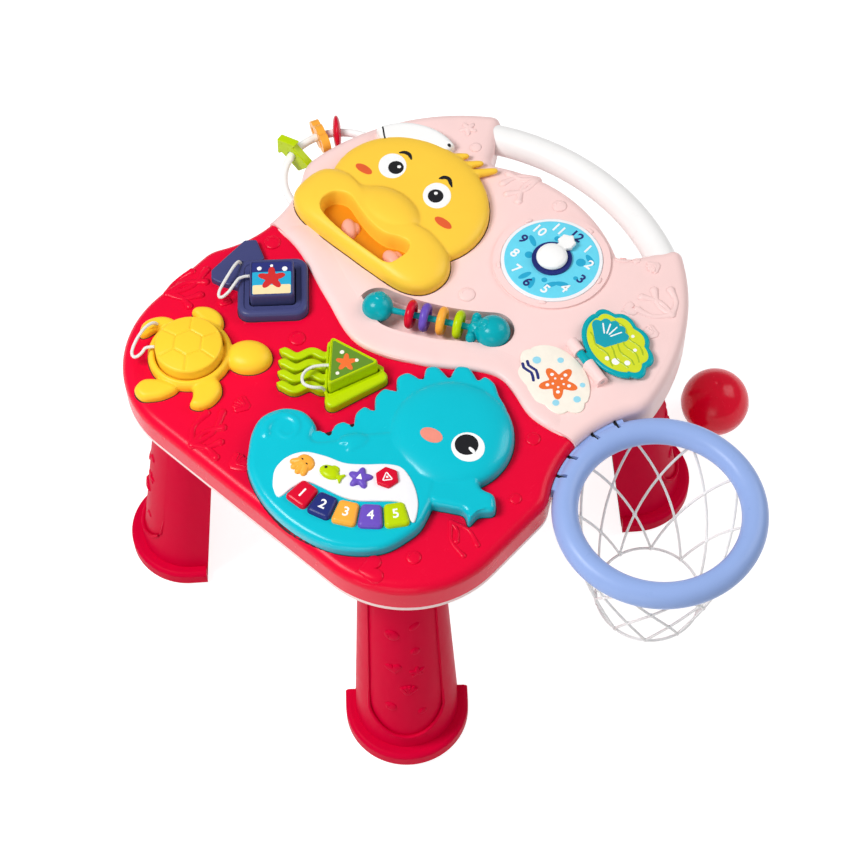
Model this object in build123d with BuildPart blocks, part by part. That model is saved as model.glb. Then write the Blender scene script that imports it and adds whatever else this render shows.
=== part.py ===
import os
from math import atan2, cos, degrees, hypot, pi, radians, sin, sqrt, tan

from build123d import *

# A toddler's activity table. Sizes are in millimetres.
# The table's own axes run from the floor under its middle: +X to the hoop, +Y to the carry handle, Z up.

# Frame: the middle of everything, with the hoop, the ball and the ring, seen from the table's middle
FRAME_X = 53.0
FRAME_Y = 40.0

# Clearances
FIT = 0.3
RUN = 0.06
SEAM = 0.2

# Table heights and walls
PAD_THICK = 2.0
LEG_HEIGHT = 234.0
TRAY_THICK = 4.0
SKIRT = 28.0
PINK_STEP = 3.0
WALL = 2.8
EDGE_ROUND = 9.0

# Plan of the deck
RED_WIDTH = 366.0
RED_FRONT = -191.0
RED_BACK = 60.0
RED_CORNER = 88.0
PINK_Y = 66.0
PINK_RADIUS = 186.0
WAIST_X = 260.0
WAIST_Y = 17.0
WAIST_RADIUS = 95.0
WAIST_ROUND = 28.0
BACK_EDGE_RADIUS = 133.0
GAP_START = 54.4
GAP_END = 120.5
GAP_ROUND = 7.0
PARTING = [
    (-200, 14),
    (-163, 13),
    (-125, 8),
    (-75, -12),
    (-25, -28),
    (25, -10),
    (78, 22),
    (125, 11),
    (163, 15),
    (200, 15),
]

# Legs
LEG_X = 131.0
LEG_Y = 151.0
LEG_ANGLE = 46.0
FOOT_RADIUS = 52.0
FOOT_HEIGHT = 14.0
FOOT_ROUND = 4.0
LEG_BOTTOM_RADIUS = 44.0
LEG_TOP_RADIUS = 32.0
LEG_LEAN = 26.0
LEG_BOTTOM_BACK = 14.0
LEG_TOP_BACK = 16.0
LEG_PANEL_DEPTH = 1.6
LEG_PANEL_BOTTOM = 62.0
LEG_PANEL_RADIUS = 31.0
LEG_PANEL_TOP_HALF = 26.0
PLUG_LENGTH = 32.0
PLUG_WIDTH = 40.0
PLUG_HEIGHT = 15.0
PLUG_ROUND = 5.0
SLEEVE_HEIGHT = 13.0
SLEEVE_WALL = 2.5

# Tray fittings
LIP_HEIGHT = 3.0
LIP_WALL = 2.0
SCREW_RADIUS = 1.6
SCREW_HEAD_RADIUS = 3.2
SCREW_HEAD = 2.2
SCREW_BITE = 12.0
BOSS_RADIUS = 4.5
SCREW_SPOTS = [(-70, -150), (155, -95), (-155, -95), (70, 120), (-20, 170), (-150, 60), (150, 60)]
BATTERY_X = -20.0
BATTERY_Y = -75.0
CELL_RADIUS = 7.2
CELL_LENGTH = 50.0
CELL_COUNT = 3
CELL_PITCH = 15.5
BATTERY_WALL = 2.2
DOOR_LIP = 5.0
DOOR_THICK = 3.0
SPEAKER_X = 75.0
SPEAKER_Y = -60.0
SPEAKER_RADIUS = 25.0
SPEAKER_HEIGHT = 9.0
SPEAKER_RIM = 6.0
GRILLE_HOLE = 1.6
GRILLE_PITCH = 4.8
GRILLE_ROWS = 5
SWITCH_X = -95.0
SWITCH_Y = -75.0
SWITCH_LENGTH = 9.0
SWITCH_WIDTH = 6.0
SWITCH_TRAVEL = 6.0
SWITCH_FLANGE = 2.0
SWITCH_STAND = 1.5

# Carry handle
HANDLE_RADIUS = 200.0
HANDLE_CROWN = 165.0
HANDLE_TUBE = 13.0
HANDLE_WALL = 2.6
HANDLE_DROP = 14.5
HANDLE_TUCK = 3.6

# Ring with three charms
RING_X = -160.0
RING_Y = 93.0
RING_RADIUS = 48.0
RING_WIRE = 3.5
RING_DROP = 14.0
RING_START = 98.0
RING_END = 265.0
CHARM_THICK = 7.0
ARROW_TIP = 19.0
ARROW_NECK = 6.0
ARROW_TAIL = 16.0
ARROW_HEAD_HALF = 16.0
ARROW_SHAFT_HALF = 9.0
ARROW_ROUND = 1.2
ARROW_EDGE = 0.9
ARROW_TILT = 42.0
LOOP_WALL = 6.0
LOOP_EYE_ALONG = 10.0
LOOP_EYE_UP = -2.0
LOOP_EYE_RADIUS = 8.0
LOOP_HOLE = 3.0
CHARM_DISC_RADIUS = 15.0
CHARM_DISC_ROUND = 2.5
CHARM_ANGLE = {"charm_arrow": 189.0, "charm_loop": 154.0, "charm_disc": 136.5}
SADDLE_WIDTH = 12.0
SADDLE_HEIGHT = 9.0
SADDLE_ROUND = 4.0
SADDLE_START = 99.0
SADDLE_END = 148.0

# Duck
DUCK_X = -90.0
HEAD_Y = 103.0
HEAD_HALF_WIDTH = 72.0
HEAD_HALF_DEPTH = 61.0
HEAD_HEIGHT = 13.0
HEAD_ROUND = 10.0
BILL_Y = 57.5
BILL_HALF_WIDTH = 78.0
BILL_HALF_DEPTH = 29.0
BILL_HEIGHT = 18.0
BILL_ROUND = 11.0
BRIDGE_Y = 80.0
BRIDGE_HALF_WIDTH = 33.0
BRIDGE_HALF_DEPTH = 21.0
BRIDGE_HEIGHT = 16.5
BRIDGE_ROUND = 8.0
MOUTH = [(-46, -4), (-40, 8), (-20, 3), (0, 0.5), (20, 3), (40, 8), (46, -4), (36, -17), (0, -16), (-36, -17)]
MOUTH_MIDDLE = -4.5
TONGUE_SHARE = 0.97
TONGUE_THICK = 2.0
TONGUE_SPREAD = 20.0
TONGUE_HALF_LENGTH = 13.0
TONGUE_HALF_WIDTH = 6.3
TONGUE_HEIGHT = 5.0
TUFT_LENGTH = 22.0
TUFT_WIDTH = 6.0
TUFT_HEIGHT = 9.0
TUFT_ROUND = 2.4
TUFTS = [(2.0, 59.0, 84.0), (15.0, 58.0, 72.0), (28.0, 55.0, 60.0)]

# Clock
CLOCK_X = 39.0
CLOCK_Y = 135.0
DIAL_RADIUS = 42.0
DIAL_THICK = 3.0
DIAL_ROUND = 0.75
SEAT_WIDTH = 6.0
SEAT_HEIGHT = 2.2
HUB_RADIUS = 16.5
HUB_THICK = 2.0
SPINDLE_RADIUS = 4.0
KNOB_RADIUS = 13.0
KNOB_HEIGHT = 6.0
KNOB_ROUND = 3.6
POINTER_REACH = 24.0
POINTER_RADIUS = 8.5
POINTER_THICK = 2.5

# Bead rod
BEAD_X = 6.0
BEAD_Y = 28.5
BEAD_TURN = 26.5
RECESS_SPAN = 96.0
RECESS_WIDTH = 34.0
RECESS_BOW = 5.0
RECESS_DEPTH = 14.0
ROD_RADIUS = 2.7
ROD_BALL = 12.6
ROD_POST = 5.0
FIN_AT = 32.0
FIN_THICK = 8.0
FIN_RADIUS = 12.5
BEAD_RADIUS = 12.0
BEAD_TUBE = 3.5
BEAD_WEB = 2.4
BEAD_PLACES = {"bead_red": -20.0, "bead_purple": -8.0, "bead_orange": 6.0, "bead_green": 20.0}

# Flip page
PAGE_X = 121.6
PAGE_Y = 77.0
PAGE_TURN = -17.1
PAGE_OFFSET = 2.7
PAGE_REACH = 29.0
PAGE_HALF_LENGTH = 35.0
PAGE_HALF_WIDTH = 22.5
PAGE_THICK = 4.0
PAGE_LIFT = 4.0
PAGE_FRAME = 4.0
PAGE_SINK = 0.6
PAGE_LOBES = 4
PAGE_LOBE_START = 18.0
PAGE_LOBE_STEP = 48.0
PAGE_LOBE_ALONG = 23.8
PAGE_LOBE_ACROSS = 13.5
PAGE_LOBE_RADIUS = 11.25
PIN_RADIUS = 2.0
BARREL_RADIUS = 3.6
BARREL_LENGTH = 9.0
STEM_WIDTH = 9.0
EAR_RADIUS = 4.8
EAR_SPANS = [(-19.0, -6.0), (6.0, 27.0)]
PICTURE_THICK = 1.5

# Shape sorter pieces
BASE_HEIGHT = 9.0
BASE_ROUND = 3.0
BLOCK_STAND = 11.5
BLOCK_ROUND = 2.0
SOCKET_GAP = 0.5
CORD_RADIUS = 1.3
CORD_HOLE = CORD_RADIUS + 0.6
TURTLE_X = -118.0
TURTLE_Y = -126.0
SHELL_RADIUS = 27.0
TURTLE_RADIUS = 33.5
TURTLE_TURN = 38.0
TURTLE_HEAD_REACH = 48.0
TURTLE_HEAD_LENGTH = 18.0
TURTLE_HEAD_WIDTH = 15.5
TURTLE_HEAD_HEIGHT = 8.0
TURTLE_HEAD_ROUND = 6.0
FLIPPER_LENGTH = 28.0
FLIPPER_WIDTH = 15.0
FLIPPER_HEIGHT = 7.0
FLIPPER_ROUND = 4.5
FLIPPERS = [(-13, 37, 165), (-39, 0, 42), (5, -41, 45), (38, -18, -75)]
SQUARE_X = -112.0
SQUARE_Y = -37.0
SQUARE_TURN = 44.0
SQUARE_SIDE = 36.0
SQUARE_BASE_SIDE = 56.0
SQUARE_BASE_ROUND = 10.0
SQUARE_ROUND = 3.0
TAG_X = -148.5
TAG_Y = -36.0
TAG_WIDTH = 31.0
TAG_LENGTH = 50.0
TAG_ROUND = 13.0
TAG_HEIGHT = 6.0
TRIANGLE_X = -12.0
TRIANGLE_Y = -56.0
TRIANGLE_TURN = 40.0
TRIANGLE_RADIUS = 24.0
TRIANGLE_BASE_RADIUS = 37.0
TRIANGLE_BASE_ROUND = 7.0
TRIANGLE_ROUND = 2.5
ARM_LENGTH = 38.0
ARM_WIDTH = 7.5
ARM_PITCH = 11.0
ARM_COUNT = 4
ARM_MIDDLE = -34.0
ARM_HEIGHT = 6.0
ARM_ROUND = 3.0
TAG_HOLE = (-149.0, -36.0)
FLIPPER_HOLE = (-156.0, -124.0)
TRIANGLE_HOLE = (-11.0, -81.0)
# Tethers: places in plan and heights above the red deck
SQUARE_CORD = [
    (-149, -36, 1),
    (-149.2, -36.3, 11),
    (-146, -46, 16),
    (-142, -60, 15),
    (-139.5, -72, 11),
    (-134.5, -75, 10),
    (-132.5, -67, 12),
    (-134.5, -57, 13.5),
    (-136.1, -49.1, 13),
    (-130.7, -43.9, 13),
]
TURTLE_CORD = [
    (-156, -124, 1),
    (-156.2, -124.3, 11),
    (-157, -135, 16),
    (-154, -149, 15),
    (-149.5, -160, 12),
    (-144, -161.5, 11),
    (-142.5, -154, 12),
    (-144.5, -148.5, 13),
    (-138.8, -143.7, 13),
]
TRIANGLE_CORD = [
    (-11, -81, 1),
    (-11.1, -81.3, 11.5),
    (-16, -90, 16),
    (-25, -92.5, 15),
    (-32, -86, 14),
    (-32.5, -77, 13.5),
    (-27.2, -68.7, 13),
    (-21.4, -63.9, 13),
]

# Seahorse and its keyboard
HORSE_HEAD = (90.0, -47.0)
HORSE_HEAD_RADIUS = 50.0
HORSE_BODY = (48.0, -135.5)
HORSE_BODY_HALF_LENGTH = 79.0
HORSE_BODY_HALF_WIDTH = 46.0
HORSE_RUMP = (94.0, -137.0)
HORSE_RUMP_RADIUS = 38.0
HORSE_NECK = (70.0, -95.0)
HORSE_NECK_HALF_LENGTH = 52.0
HORSE_NECK_HALF_WIDTH = 34.0
SNOUT_REACH = 57.0
SNOUT_TURN = -32.0
SNOUT_LENGTH = 34.0
SNOUT_WIDTH = 30.0
MANE = [(64.0, 166.0), (62.0, 145.0), (60.0, 124.0), (58.0, 100.0), (65.0, 188.0), (72.0, 206.0), (86.0, 218.0)]
MANE_RADIUS = 10.0
MANE_DROP = 2.0
TAIL_NUB = (-24.0, -149.0)
TAIL_NUB_RADIUS = 6.0
HORSE_HEIGHT = 12.0
HORSE_ROUND = 4.0
HORSE_SKIN = 3.0
FACE_RADIUS = 41.0
FACE_HEIGHT = 4.0
FACE_ROUND = 3.5
KEYS_X = 39.0
KEYS_Y = -74.0
KEY_RADIUS = 91.0
KEY_LENGTH = 21.0
KEY_STEP = 12.0
KEY_MIDDLE = -63.0
KEY_GAP = 0.7
KEY_ROUND = 3.5
KEY_STAND = 4.0
KEY_TOP_ROUND = 2.0
KEY_NAMES = ["key_red", "key_navy", "key_orange", "key_purple", "key_lime"]
FLANGE_THICK = 1.5
FLANGE_OVERHANG = 1.3
PANEL_EDGE = [
    (105.0, -95.0),
    (99.0, -102.0),
    (91.0, -107.5),
    (79.0, -110.5),
    (65.0, -108.5),
    (54.0, -96.0),
    (49.5, -79.0),
    (45.0, -61.0),
    (44.5, -38.0),
    (51.5, -26.0),
    (68.0, -24.0),
    (85.0, -26.7),
    (98.5, -31.0),
]
PANEL_THICK = 1.5
BUTTON_STAND = 3.0
BUTTON_FLANGE = 9.75
BUTTON_SPOTS = {
    "button_octopus": (72.4, -100.6),
    "button_fish": (63.2, -81.9),
    "button_star": (58.4, -61.1),
    "button_hexagon": (57.5, -40.6),
}
BUTTON_GAP = 0.4
OCTOPUS_HEAD = 7.2
OCTOPUS_HEAD_UP = 2.0
OCTOPUS_ARM = 2.4
OCTOPUS_ARM_PITCH = 4.0
OCTOPUS_ARM_DOWN = 6.5
OCTOPUS_ARMS = 4
FISH_HALF_LENGTH = 7.6
FISH_HALF_WIDTH = 5.8
FISH_SHIFT = 2.0
FISH_TAIL_AT = 6.4
FISH_TAIL_SPREAD = 2.6
FISH_TAIL_HALF_LENGTH = 3.0
FISH_TAIL_HALF_WIDTH = 2.4
STAR_RADIUS = 5.6
STAR_REACH = 6.4
STAR_LOBE = 2.6
STAR_POINTS = 5
HEXAGON_HALF_WIDTH = 8.0
HEXAGON_ROUND = 2.0
BOARD_THICK = 1.6
MAT_THICK = 1.2
DOME_HEIGHT = 1.2
DOME_RADIUS = 4.0

# Hoop, net and ball
HOOP_X = 249.0
HOOP_RADIUS = 73.3
HOOP_TUBE = 10.4
HOOP_DROP = 16.0
BRACKET_HEIGHT = 12.0
BRACKET_HALF_ANGLE = 27.0
BRACKET_ROUND = 3.0
TAB_OFFSET = 26.0
TAB_WIDTH = 12.0
TAB_HEIGHT = 6.0
TAB_LENGTH = 14.0
SLOT_WIDTH = 3.0
SLOT_LENGTH = 9.0
SLOT_DEPTH = 2.5
SLOT_ANGLES = [157.0, 170.0, 187.0, 199.0]
NET_LENGTH = 124.0
NET_BOTTOM_RADIUS = 42.0
NET_THICK = 1.6
NET_COLUMNS = 10
NET_ROWS = 2
NET_BAND = 3.0
NET_STRAND = 2.6
BALL_RADIUS = 31.0
BALL_X = 144.0
BALL_Y = 253.0

# Levels worked out from the sizes above
TRAY_BOTTOM = PAD_THICK + LEG_HEIGHT
TRAY_TOP = TRAY_BOTTOM + TRAY_THICK
RED_TOP = TRAY_TOP + SKIRT
PINK_TOP = RED_TOP + PINK_STEP
HORSE_TOP = RED_TOP + HORSE_HEIGHT
POCKET_TOP = HORSE_TOP - HORSE_SKIN
PANEL_TOP = HORSE_TOP + PANEL_THICK
REACH = 300.0


def polar(radius, angle, centre=(0.0, 0.0)):
    return (centre[0] + radius * cos(radians(angle)), centre[1] + radius * sin(radians(angle)))


def turned_plane(x, y, z, turn):
    return Plane(origin=(x, y, z), x_dir=(cos(radians(turn)), sin(radians(turn)), 0), z_dir=(0, 0, 1))


def radial_plane(x, y, angle):
    """A standing plane through a vertical axis: its own x runs outwards, its own y runs up."""
    out = (cos(radians(angle)), sin(radians(angle)), 0)
    return Plane(origin=(x, y, 0), x_dir=out, z_dir=(out[1], -out[0], 0))


def sector(inner, outer, start, end):
    """A piece of a flat ring about the sketch's own origin."""
    with BuildSketch() as piece:
        with BuildLine():
            CenterArc((0, 0), outer, start, end - start)
            Line(polar(outer, end), polar(inner, end))
            CenterArc((0, 0), inner, start, end - start)
            Line(polar(inner, start), polar(outer, start))
        make_face()
    return piece.sketch


def save(part, name):
    """Names a finished piece, moves it to the middle of everything and writes it."""
    placed = part.moved(Location((-FRAME_X, -FRAME_Y, 0)))
    placed.label = name
    export_step(placed, f"parts/{name}.step")


os.makedirs("parts", exist_ok=True)


# Deck: a red front half and a pink back half on one plan
def at_gap_end(v):
    """True for a corner of the deck's plan on one of the two end faces of the handle gap."""
    away = [v.X * sin(radians(a)) - (v.Y - PINK_Y) * cos(radians(a)) for a in (GAP_START, GAP_END)]
    return v.Y > PINK_Y and min(abs(d) for d in away) < SEAM


def deck_plan(inset):
    with BuildSketch() as plan:
        with Locations((0, (RED_FRONT + RED_BACK) / 2)):
            RectangleRounded(RED_WIDTH, RED_BACK - RED_FRONT, RED_CORNER)
        with Locations((0, PINK_Y)):
            Circle(PINK_RADIUS)
        with Locations((WAIST_X, WAIST_Y), (-WAIST_X, WAIST_Y)):
            Circle(WAIST_RADIUS, mode=Mode.SUBTRACT)
        waist_ends = [
            v
            for v in plan.vertices()
            if abs(hypot(abs(v.X) - WAIST_X, v.Y - WAIST_Y) - WAIST_RADIUS) < SEAM
        ]
        fillet(waist_ends, WAIST_ROUND)
        with Locations((0, PINK_Y)):
            add(
                sector(BACK_EDGE_RADIUS, PINK_RADIUS + REACH, GAP_START, GAP_END),
                mode=Mode.SUBTRACT,
            )
        fillet([v for v in plan.vertices() if at_gap_end(v)], GAP_ROUND)
        if inset > 0:
            offset(amount=-inset)
    return plan.sketch


def deck_block(top, inset, rounding):
    with BuildPart() as block:
        with BuildSketch(Plane.XY.offset(TRAY_TOP)):
            add(deck_plan(inset))
        extrude(amount=top - TRAY_TOP)
        fillet(block.faces().sort_by(Axis.Z)[-1].edges(), rounding)
    return block.part


def red_region(back_off):
    with BuildSketch() as region:
        with BuildLine():
            wave = Spline(*[(x, y - back_off) for x, y in PARTING])
            Polyline(wave @ 1, (REACH, -REACH), (-REACH, -REACH), wave @ 0)
        make_face()
    return region.sketch


def handle_angle(gap_angle):
    """Where the handle's own arc crosses one end of the gap."""
    drop = HANDLE_RADIUS - HANDLE_CROWN
    side = cos(radians(gap_angle))
    rise = sin(radians(gap_angle))
    out = sqrt(HANDLE_RADIUS**2 - (drop * side) ** 2) - drop * rise
    return degrees(atan2(drop + out * rise, out * side))


def handle_tube(radius, tuck):
    middle_y = PINK_Y + HANDLE_CROWN - HANDLE_RADIUS
    start = handle_angle(GAP_START) - tuck
    end = handle_angle(GAP_END) + tuck
    with BuildPart() as tube:
        with BuildSketch(radial_plane(0, middle_y, start)):
            with Locations((HANDLE_RADIUS, PINK_TOP - HANDLE_DROP)):
                Circle(radius)
        revolve(axis=Axis((0, middle_y, 0), (0, 0, 1)), revolution_arc=end - start)
    return tube.part


def ring_wire(radius):
    with BuildPart() as wire:
        with BuildSketch(radial_plane(RING_X, RING_Y, RING_START)):
            with Locations((RING_RADIUS, PINK_TOP - RING_DROP)):
                Circle(radius)
        revolve(axis=Axis((RING_X, RING_Y, 0), (0, 0, 1)), revolution_arc=RING_END - RING_START)
    return wire.part


def tab_planes():
    """Where the hoop's two tabs pass into the skirt, with x outwards along the table's X."""
    z = PINK_TOP - HOOP_DROP - TAB_HEIGHT / 2
    return [turned_plane(WAIST_X - WAIST_RADIUS, WAIST_Y + side * TAB_OFFSET, z, 0) for side in (-1, 1)]


def tab_cut(grow):
    with BuildPart() as tabs:
        for plane in tab_planes():
            with BuildSketch(plane.offset(-grow)):
                with Locations((-TAB_LENGTH / 2 + WALL, 0)):
                    Rectangle(TAB_LENGTH + 2 * EDGE_ROUND, TAB_WIDTH + 2 * grow)
            extrude(amount=TAB_HEIGHT + 2 * grow)
    return tabs.part


hollow_red = deck_block(RED_TOP - WALL, WALL, EDGE_ROUND - WALL)
hollow_pink = deck_block(PINK_TOP - WALL, WALL, EDGE_ROUND - WALL)

with BuildPart() as red_deck:
    add(deck_block(RED_TOP, 0, EDGE_ROUND))
    add(hollow_red, mode=Mode.SUBTRACT)
    for x, y in SCREW_SPOTS:
        if y < 0:
            with BuildSketch(Plane.XY.offset(TRAY_TOP)):
                with Locations((x, y)):
                    Circle(BOSS_RADIUS)
            extrude(amount=RED_TOP - WALL / 2 - TRAY_TOP)
            with BuildSketch(Plane.XY.offset(TRAY_TOP)):
                with Locations((x, y)):
                    Circle(SCREW_RADIUS + SEAM / 2)
            extrude(amount=SCREW_BITE + WALL, mode=Mode.SUBTRACT)
    with BuildSketch():
        add(red_region(SEAM))
    extrude(amount=PINK_TOP + REACH, mode=Mode.INTERSECT)
    add(tab_cut(FIT), mode=Mode.SUBTRACT)
save(red_deck.part, "red_deck")


def page_plane(height):
    return turned_plane(PAGE_X, PAGE_Y, PINK_TOP + height, PAGE_TURN)


def bead_plane(height):
    return turned_plane(BEAD_X, BEAD_Y, PINK_TOP + height, BEAD_TURN)


def recess_line():
    """The recess's middle line, bowed a little to the front, with the rod halfway between."""
    half = RECESS_SPAN / 2
    lean = RECESS_BOW / 2
    return Edge.make_three_point_arc((-half, lean), (0, -lean), (half, lean))


def page_axis_plane(along):
    """A plane square to the page's hinge, this far along it."""
    way = (cos(radians(PAGE_TURN)), sin(radians(PAGE_TURN)), 0)
    spot = (PAGE_X + along * way[0], PAGE_Y + along * way[1], PINK_TOP + PAGE_LIFT)
    return Plane(origin=spot, x_dir=(0, 0, 1), z_dir=way)


with BuildPart() as pink_deck:
    add(deck_block(PINK_TOP, 0, EDGE_ROUND))
    add(hollow_pink, mode=Mode.SUBTRACT)
    with BuildSketch(bead_plane(0)):
        SlotArc(recess_line(), RECESS_WIDTH + 2 * WALL)
    extrude(amount=-RECESS_DEPTH - WALL)
    with BuildSketch(bead_plane(0)):
        SlotArc(recess_line(), RECESS_WIDTH)
    extrude(amount=-RECESS_DEPTH, mode=Mode.SUBTRACT)
    with BuildSketch(Plane.XY.offset(PINK_TOP)):
        with Locations((CLOCK_X, CLOCK_Y)):
            Circle(DIAL_RADIUS + FIT + SEAT_WIDTH)
            Circle(DIAL_RADIUS + FIT, mode=Mode.SUBTRACT)
    extrude(amount=SEAT_HEIGHT)
    with BuildSketch(Plane.XY.offset(PINK_TOP - WALL)):
        with Locations((CLOCK_X, CLOCK_Y)):
            Circle(SPINDLE_RADIUS + SEAM / 2)
    extrude(amount=WALL, mode=Mode.SUBTRACT)
    for start, end in EAR_SPANS:
        with BuildSketch(page_axis_plane(start)):
            Circle(EAR_RADIUS)
            with Locations((-PAGE_LIFT / 2 - WALL / 4, 0)):
                Rectangle(PAGE_LIFT + WALL / 2, 2 * EAR_RADIUS)
        extrude(amount=end - start)
    with BuildSketch(page_axis_plane(EAR_SPANS[0][0])):
        Circle(PIN_RADIUS + RUN)
    extrude(amount=EAR_SPANS[1][1] - EAR_SPANS[0][0], mode=Mode.SUBTRACT)
    for x, y in SCREW_SPOTS:
        if y > 0:
            with BuildSketch(Plane.XY.offset(TRAY_TOP)):
                with Locations((x, y)):
                    Circle(BOSS_RADIUS)
            extrude(amount=PINK_TOP - WALL / 2 - TRAY_TOP)
            with BuildSketch(Plane.XY.offset(TRAY_TOP)):
                with Locations((x, y)):
                    Circle(SCREW_RADIUS + SEAM / 2)
            extrude(amount=SCREW_BITE + WALL, mode=Mode.SUBTRACT)
    with BuildSketch():
        add(red_region(0))
    extrude(amount=PINK_TOP + REACH, mode=Mode.SUBTRACT)
    add(handle_tube(HANDLE_TUBE + SEAM / 2, HANDLE_TUCK + 1), mode=Mode.SUBTRACT)
    add(ring_wire(RING_WIRE + SEAM / 2), mode=Mode.SUBTRACT)
    add(tab_cut(FIT), mode=Mode.SUBTRACT)
save(pink_deck.part, "pink_deck")


# Legs: a half-round hollow post that leans out to a flanged foot
def leg_plane(side_x, side_y, height):
    way = (side_x * cos(radians(LEG_ANGLE)), side_y * sin(radians(LEG_ANGLE)), 0)
    return Plane(origin=(side_x * LEG_X, side_y * LEG_Y, height), x_dir=way, z_dir=(0, 0, 1))


def half_round(centre, radius, back):
    """A half circle outwards of centre, with straight sides and a flat back behind it."""
    with BuildSketch() as shape:
        with BuildLine():
            ThreePointArc((centre, -radius), (centre + radius, 0), (centre, radius))
            Polyline((centre, radius), (centre - back, radius), (centre - back, -radius), (centre, -radius))
        make_face()
    return shape.sketch


def leg_post(side_x, side_y, inset, top):
    with BuildPart() as post:
        with BuildSketch(leg_plane(side_x, side_y, PAD_THICK)):
            add(half_round(0, LEG_BOTTOM_RADIUS - inset, LEG_BOTTOM_BACK - inset))
        with BuildSketch(leg_plane(side_x, side_y, top)):
            add(half_round(-LEG_LEAN, LEG_TOP_RADIUS - inset, LEG_TOP_BACK - inset))
        loft(ruled=True)
    return post.part


def leg_panel(side_x, side_y):
    """The arched field on a leg's face, as a prism that runs outwards past the face."""
    base = leg_plane(side_x, side_y, 0)
    standing = Plane(origin=base.origin - base.x_dir * LEG_LEAN, x_dir=base.y_dir, z_dir=base.x_dir)
    top = TRAY_BOTTOM - WALL
    with BuildPart() as prism:
        with BuildSketch(standing):
            with BuildLine():
                ThreePointArc(
                    (-LEG_PANEL_RADIUS, LEG_PANEL_BOTTOM),
                    (0, LEG_PANEL_BOTTOM - LEG_PANEL_RADIUS),
                    (LEG_PANEL_RADIUS, LEG_PANEL_BOTTOM),
                )
                Polyline(
                    (LEG_PANEL_RADIUS, LEG_PANEL_BOTTOM),
                    (LEG_PANEL_TOP_HALF, top),
                    (-LEG_PANEL_TOP_HALF, top),
                    (-LEG_PANEL_RADIUS, LEG_PANEL_BOTTOM),
                )
            make_face()
        extrude(amount=LEG_LEAN + FOOT_RADIUS)
        add(leg_post(side_x, side_y, LEG_PANEL_DEPTH, TRAY_BOTTOM), mode=Mode.SUBTRACT)
    return prism.part


def plug_sketch(grow):
    with BuildSketch() as plug:
        with Locations((-LEG_LEAN + (LEG_TOP_RADIUS - LEG_TOP_BACK) / 2, 0)):
            RectangleRounded(PLUG_LENGTH + 2 * grow, PLUG_WIDTH + 2 * grow, PLUG_ROUND + grow)
    return plug.sketch


LEGS = {
    "leg_front_right": (1, -1),
    "leg_front_left": (-1, -1),
    "leg_back_left": (-1, 1),
    "leg_back_right": (1, 1),
}
for leg_name, (side_x, side_y) in LEGS.items():
    with BuildPart() as leg:
        with BuildSketch(leg_plane(side_x, side_y, PAD_THICK)):
            add(half_round(0, FOOT_RADIUS, LEG_BOTTOM_BACK))
        extrude(amount=FOOT_HEIGHT)
        foot_top = leg.faces().sort_by(Axis.Z)[-1]
        fillet(foot_top.edges().filter_by(GeomType.CIRCLE), FOOT_ROUND)
        add(leg_post(side_x, side_y, 0, TRAY_BOTTOM))
        add(leg_panel(side_x, side_y), mode=Mode.SUBTRACT)
        add(leg_post(side_x, side_y, WALL + LEG_PANEL_DEPTH, TRAY_BOTTOM - WALL), mode=Mode.SUBTRACT)
        with BuildSketch(leg_plane(side_x, side_y, TRAY_BOTTOM)):
            add(plug_sketch(0))
        extrude(amount=PLUG_HEIGHT)
    save(leg.part, leg_name)

with BuildPart() as foot_pads:
    for side_x, side_y in LEGS.values():
        with BuildSketch(leg_plane(side_x, side_y, 0)):
            add(half_round(0, LEG_BOTTOM_RADIUS, LEG_BOTTOM_BACK))
        extrude(amount=PAD_THICK)
save(foot_pads.part, "foot_pads")


# Tray: closes the deck from below and carries the legs, the cells, the speaker and the switch
BATTERY_LENGTH = CELL_LENGTH + 2 * FIT
BATTERY_WIDTH = CELL_COUNT * CELL_PITCH + 2 * FIT
BATTERY_TOP = TRAY_BOTTOM + DOOR_THICK + 2 * CELL_RADIUS + 2 * FIT
SWITCH_SLOT = SWITCH_LENGTH + SWITCH_TRAVEL + 2 * FIT

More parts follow.
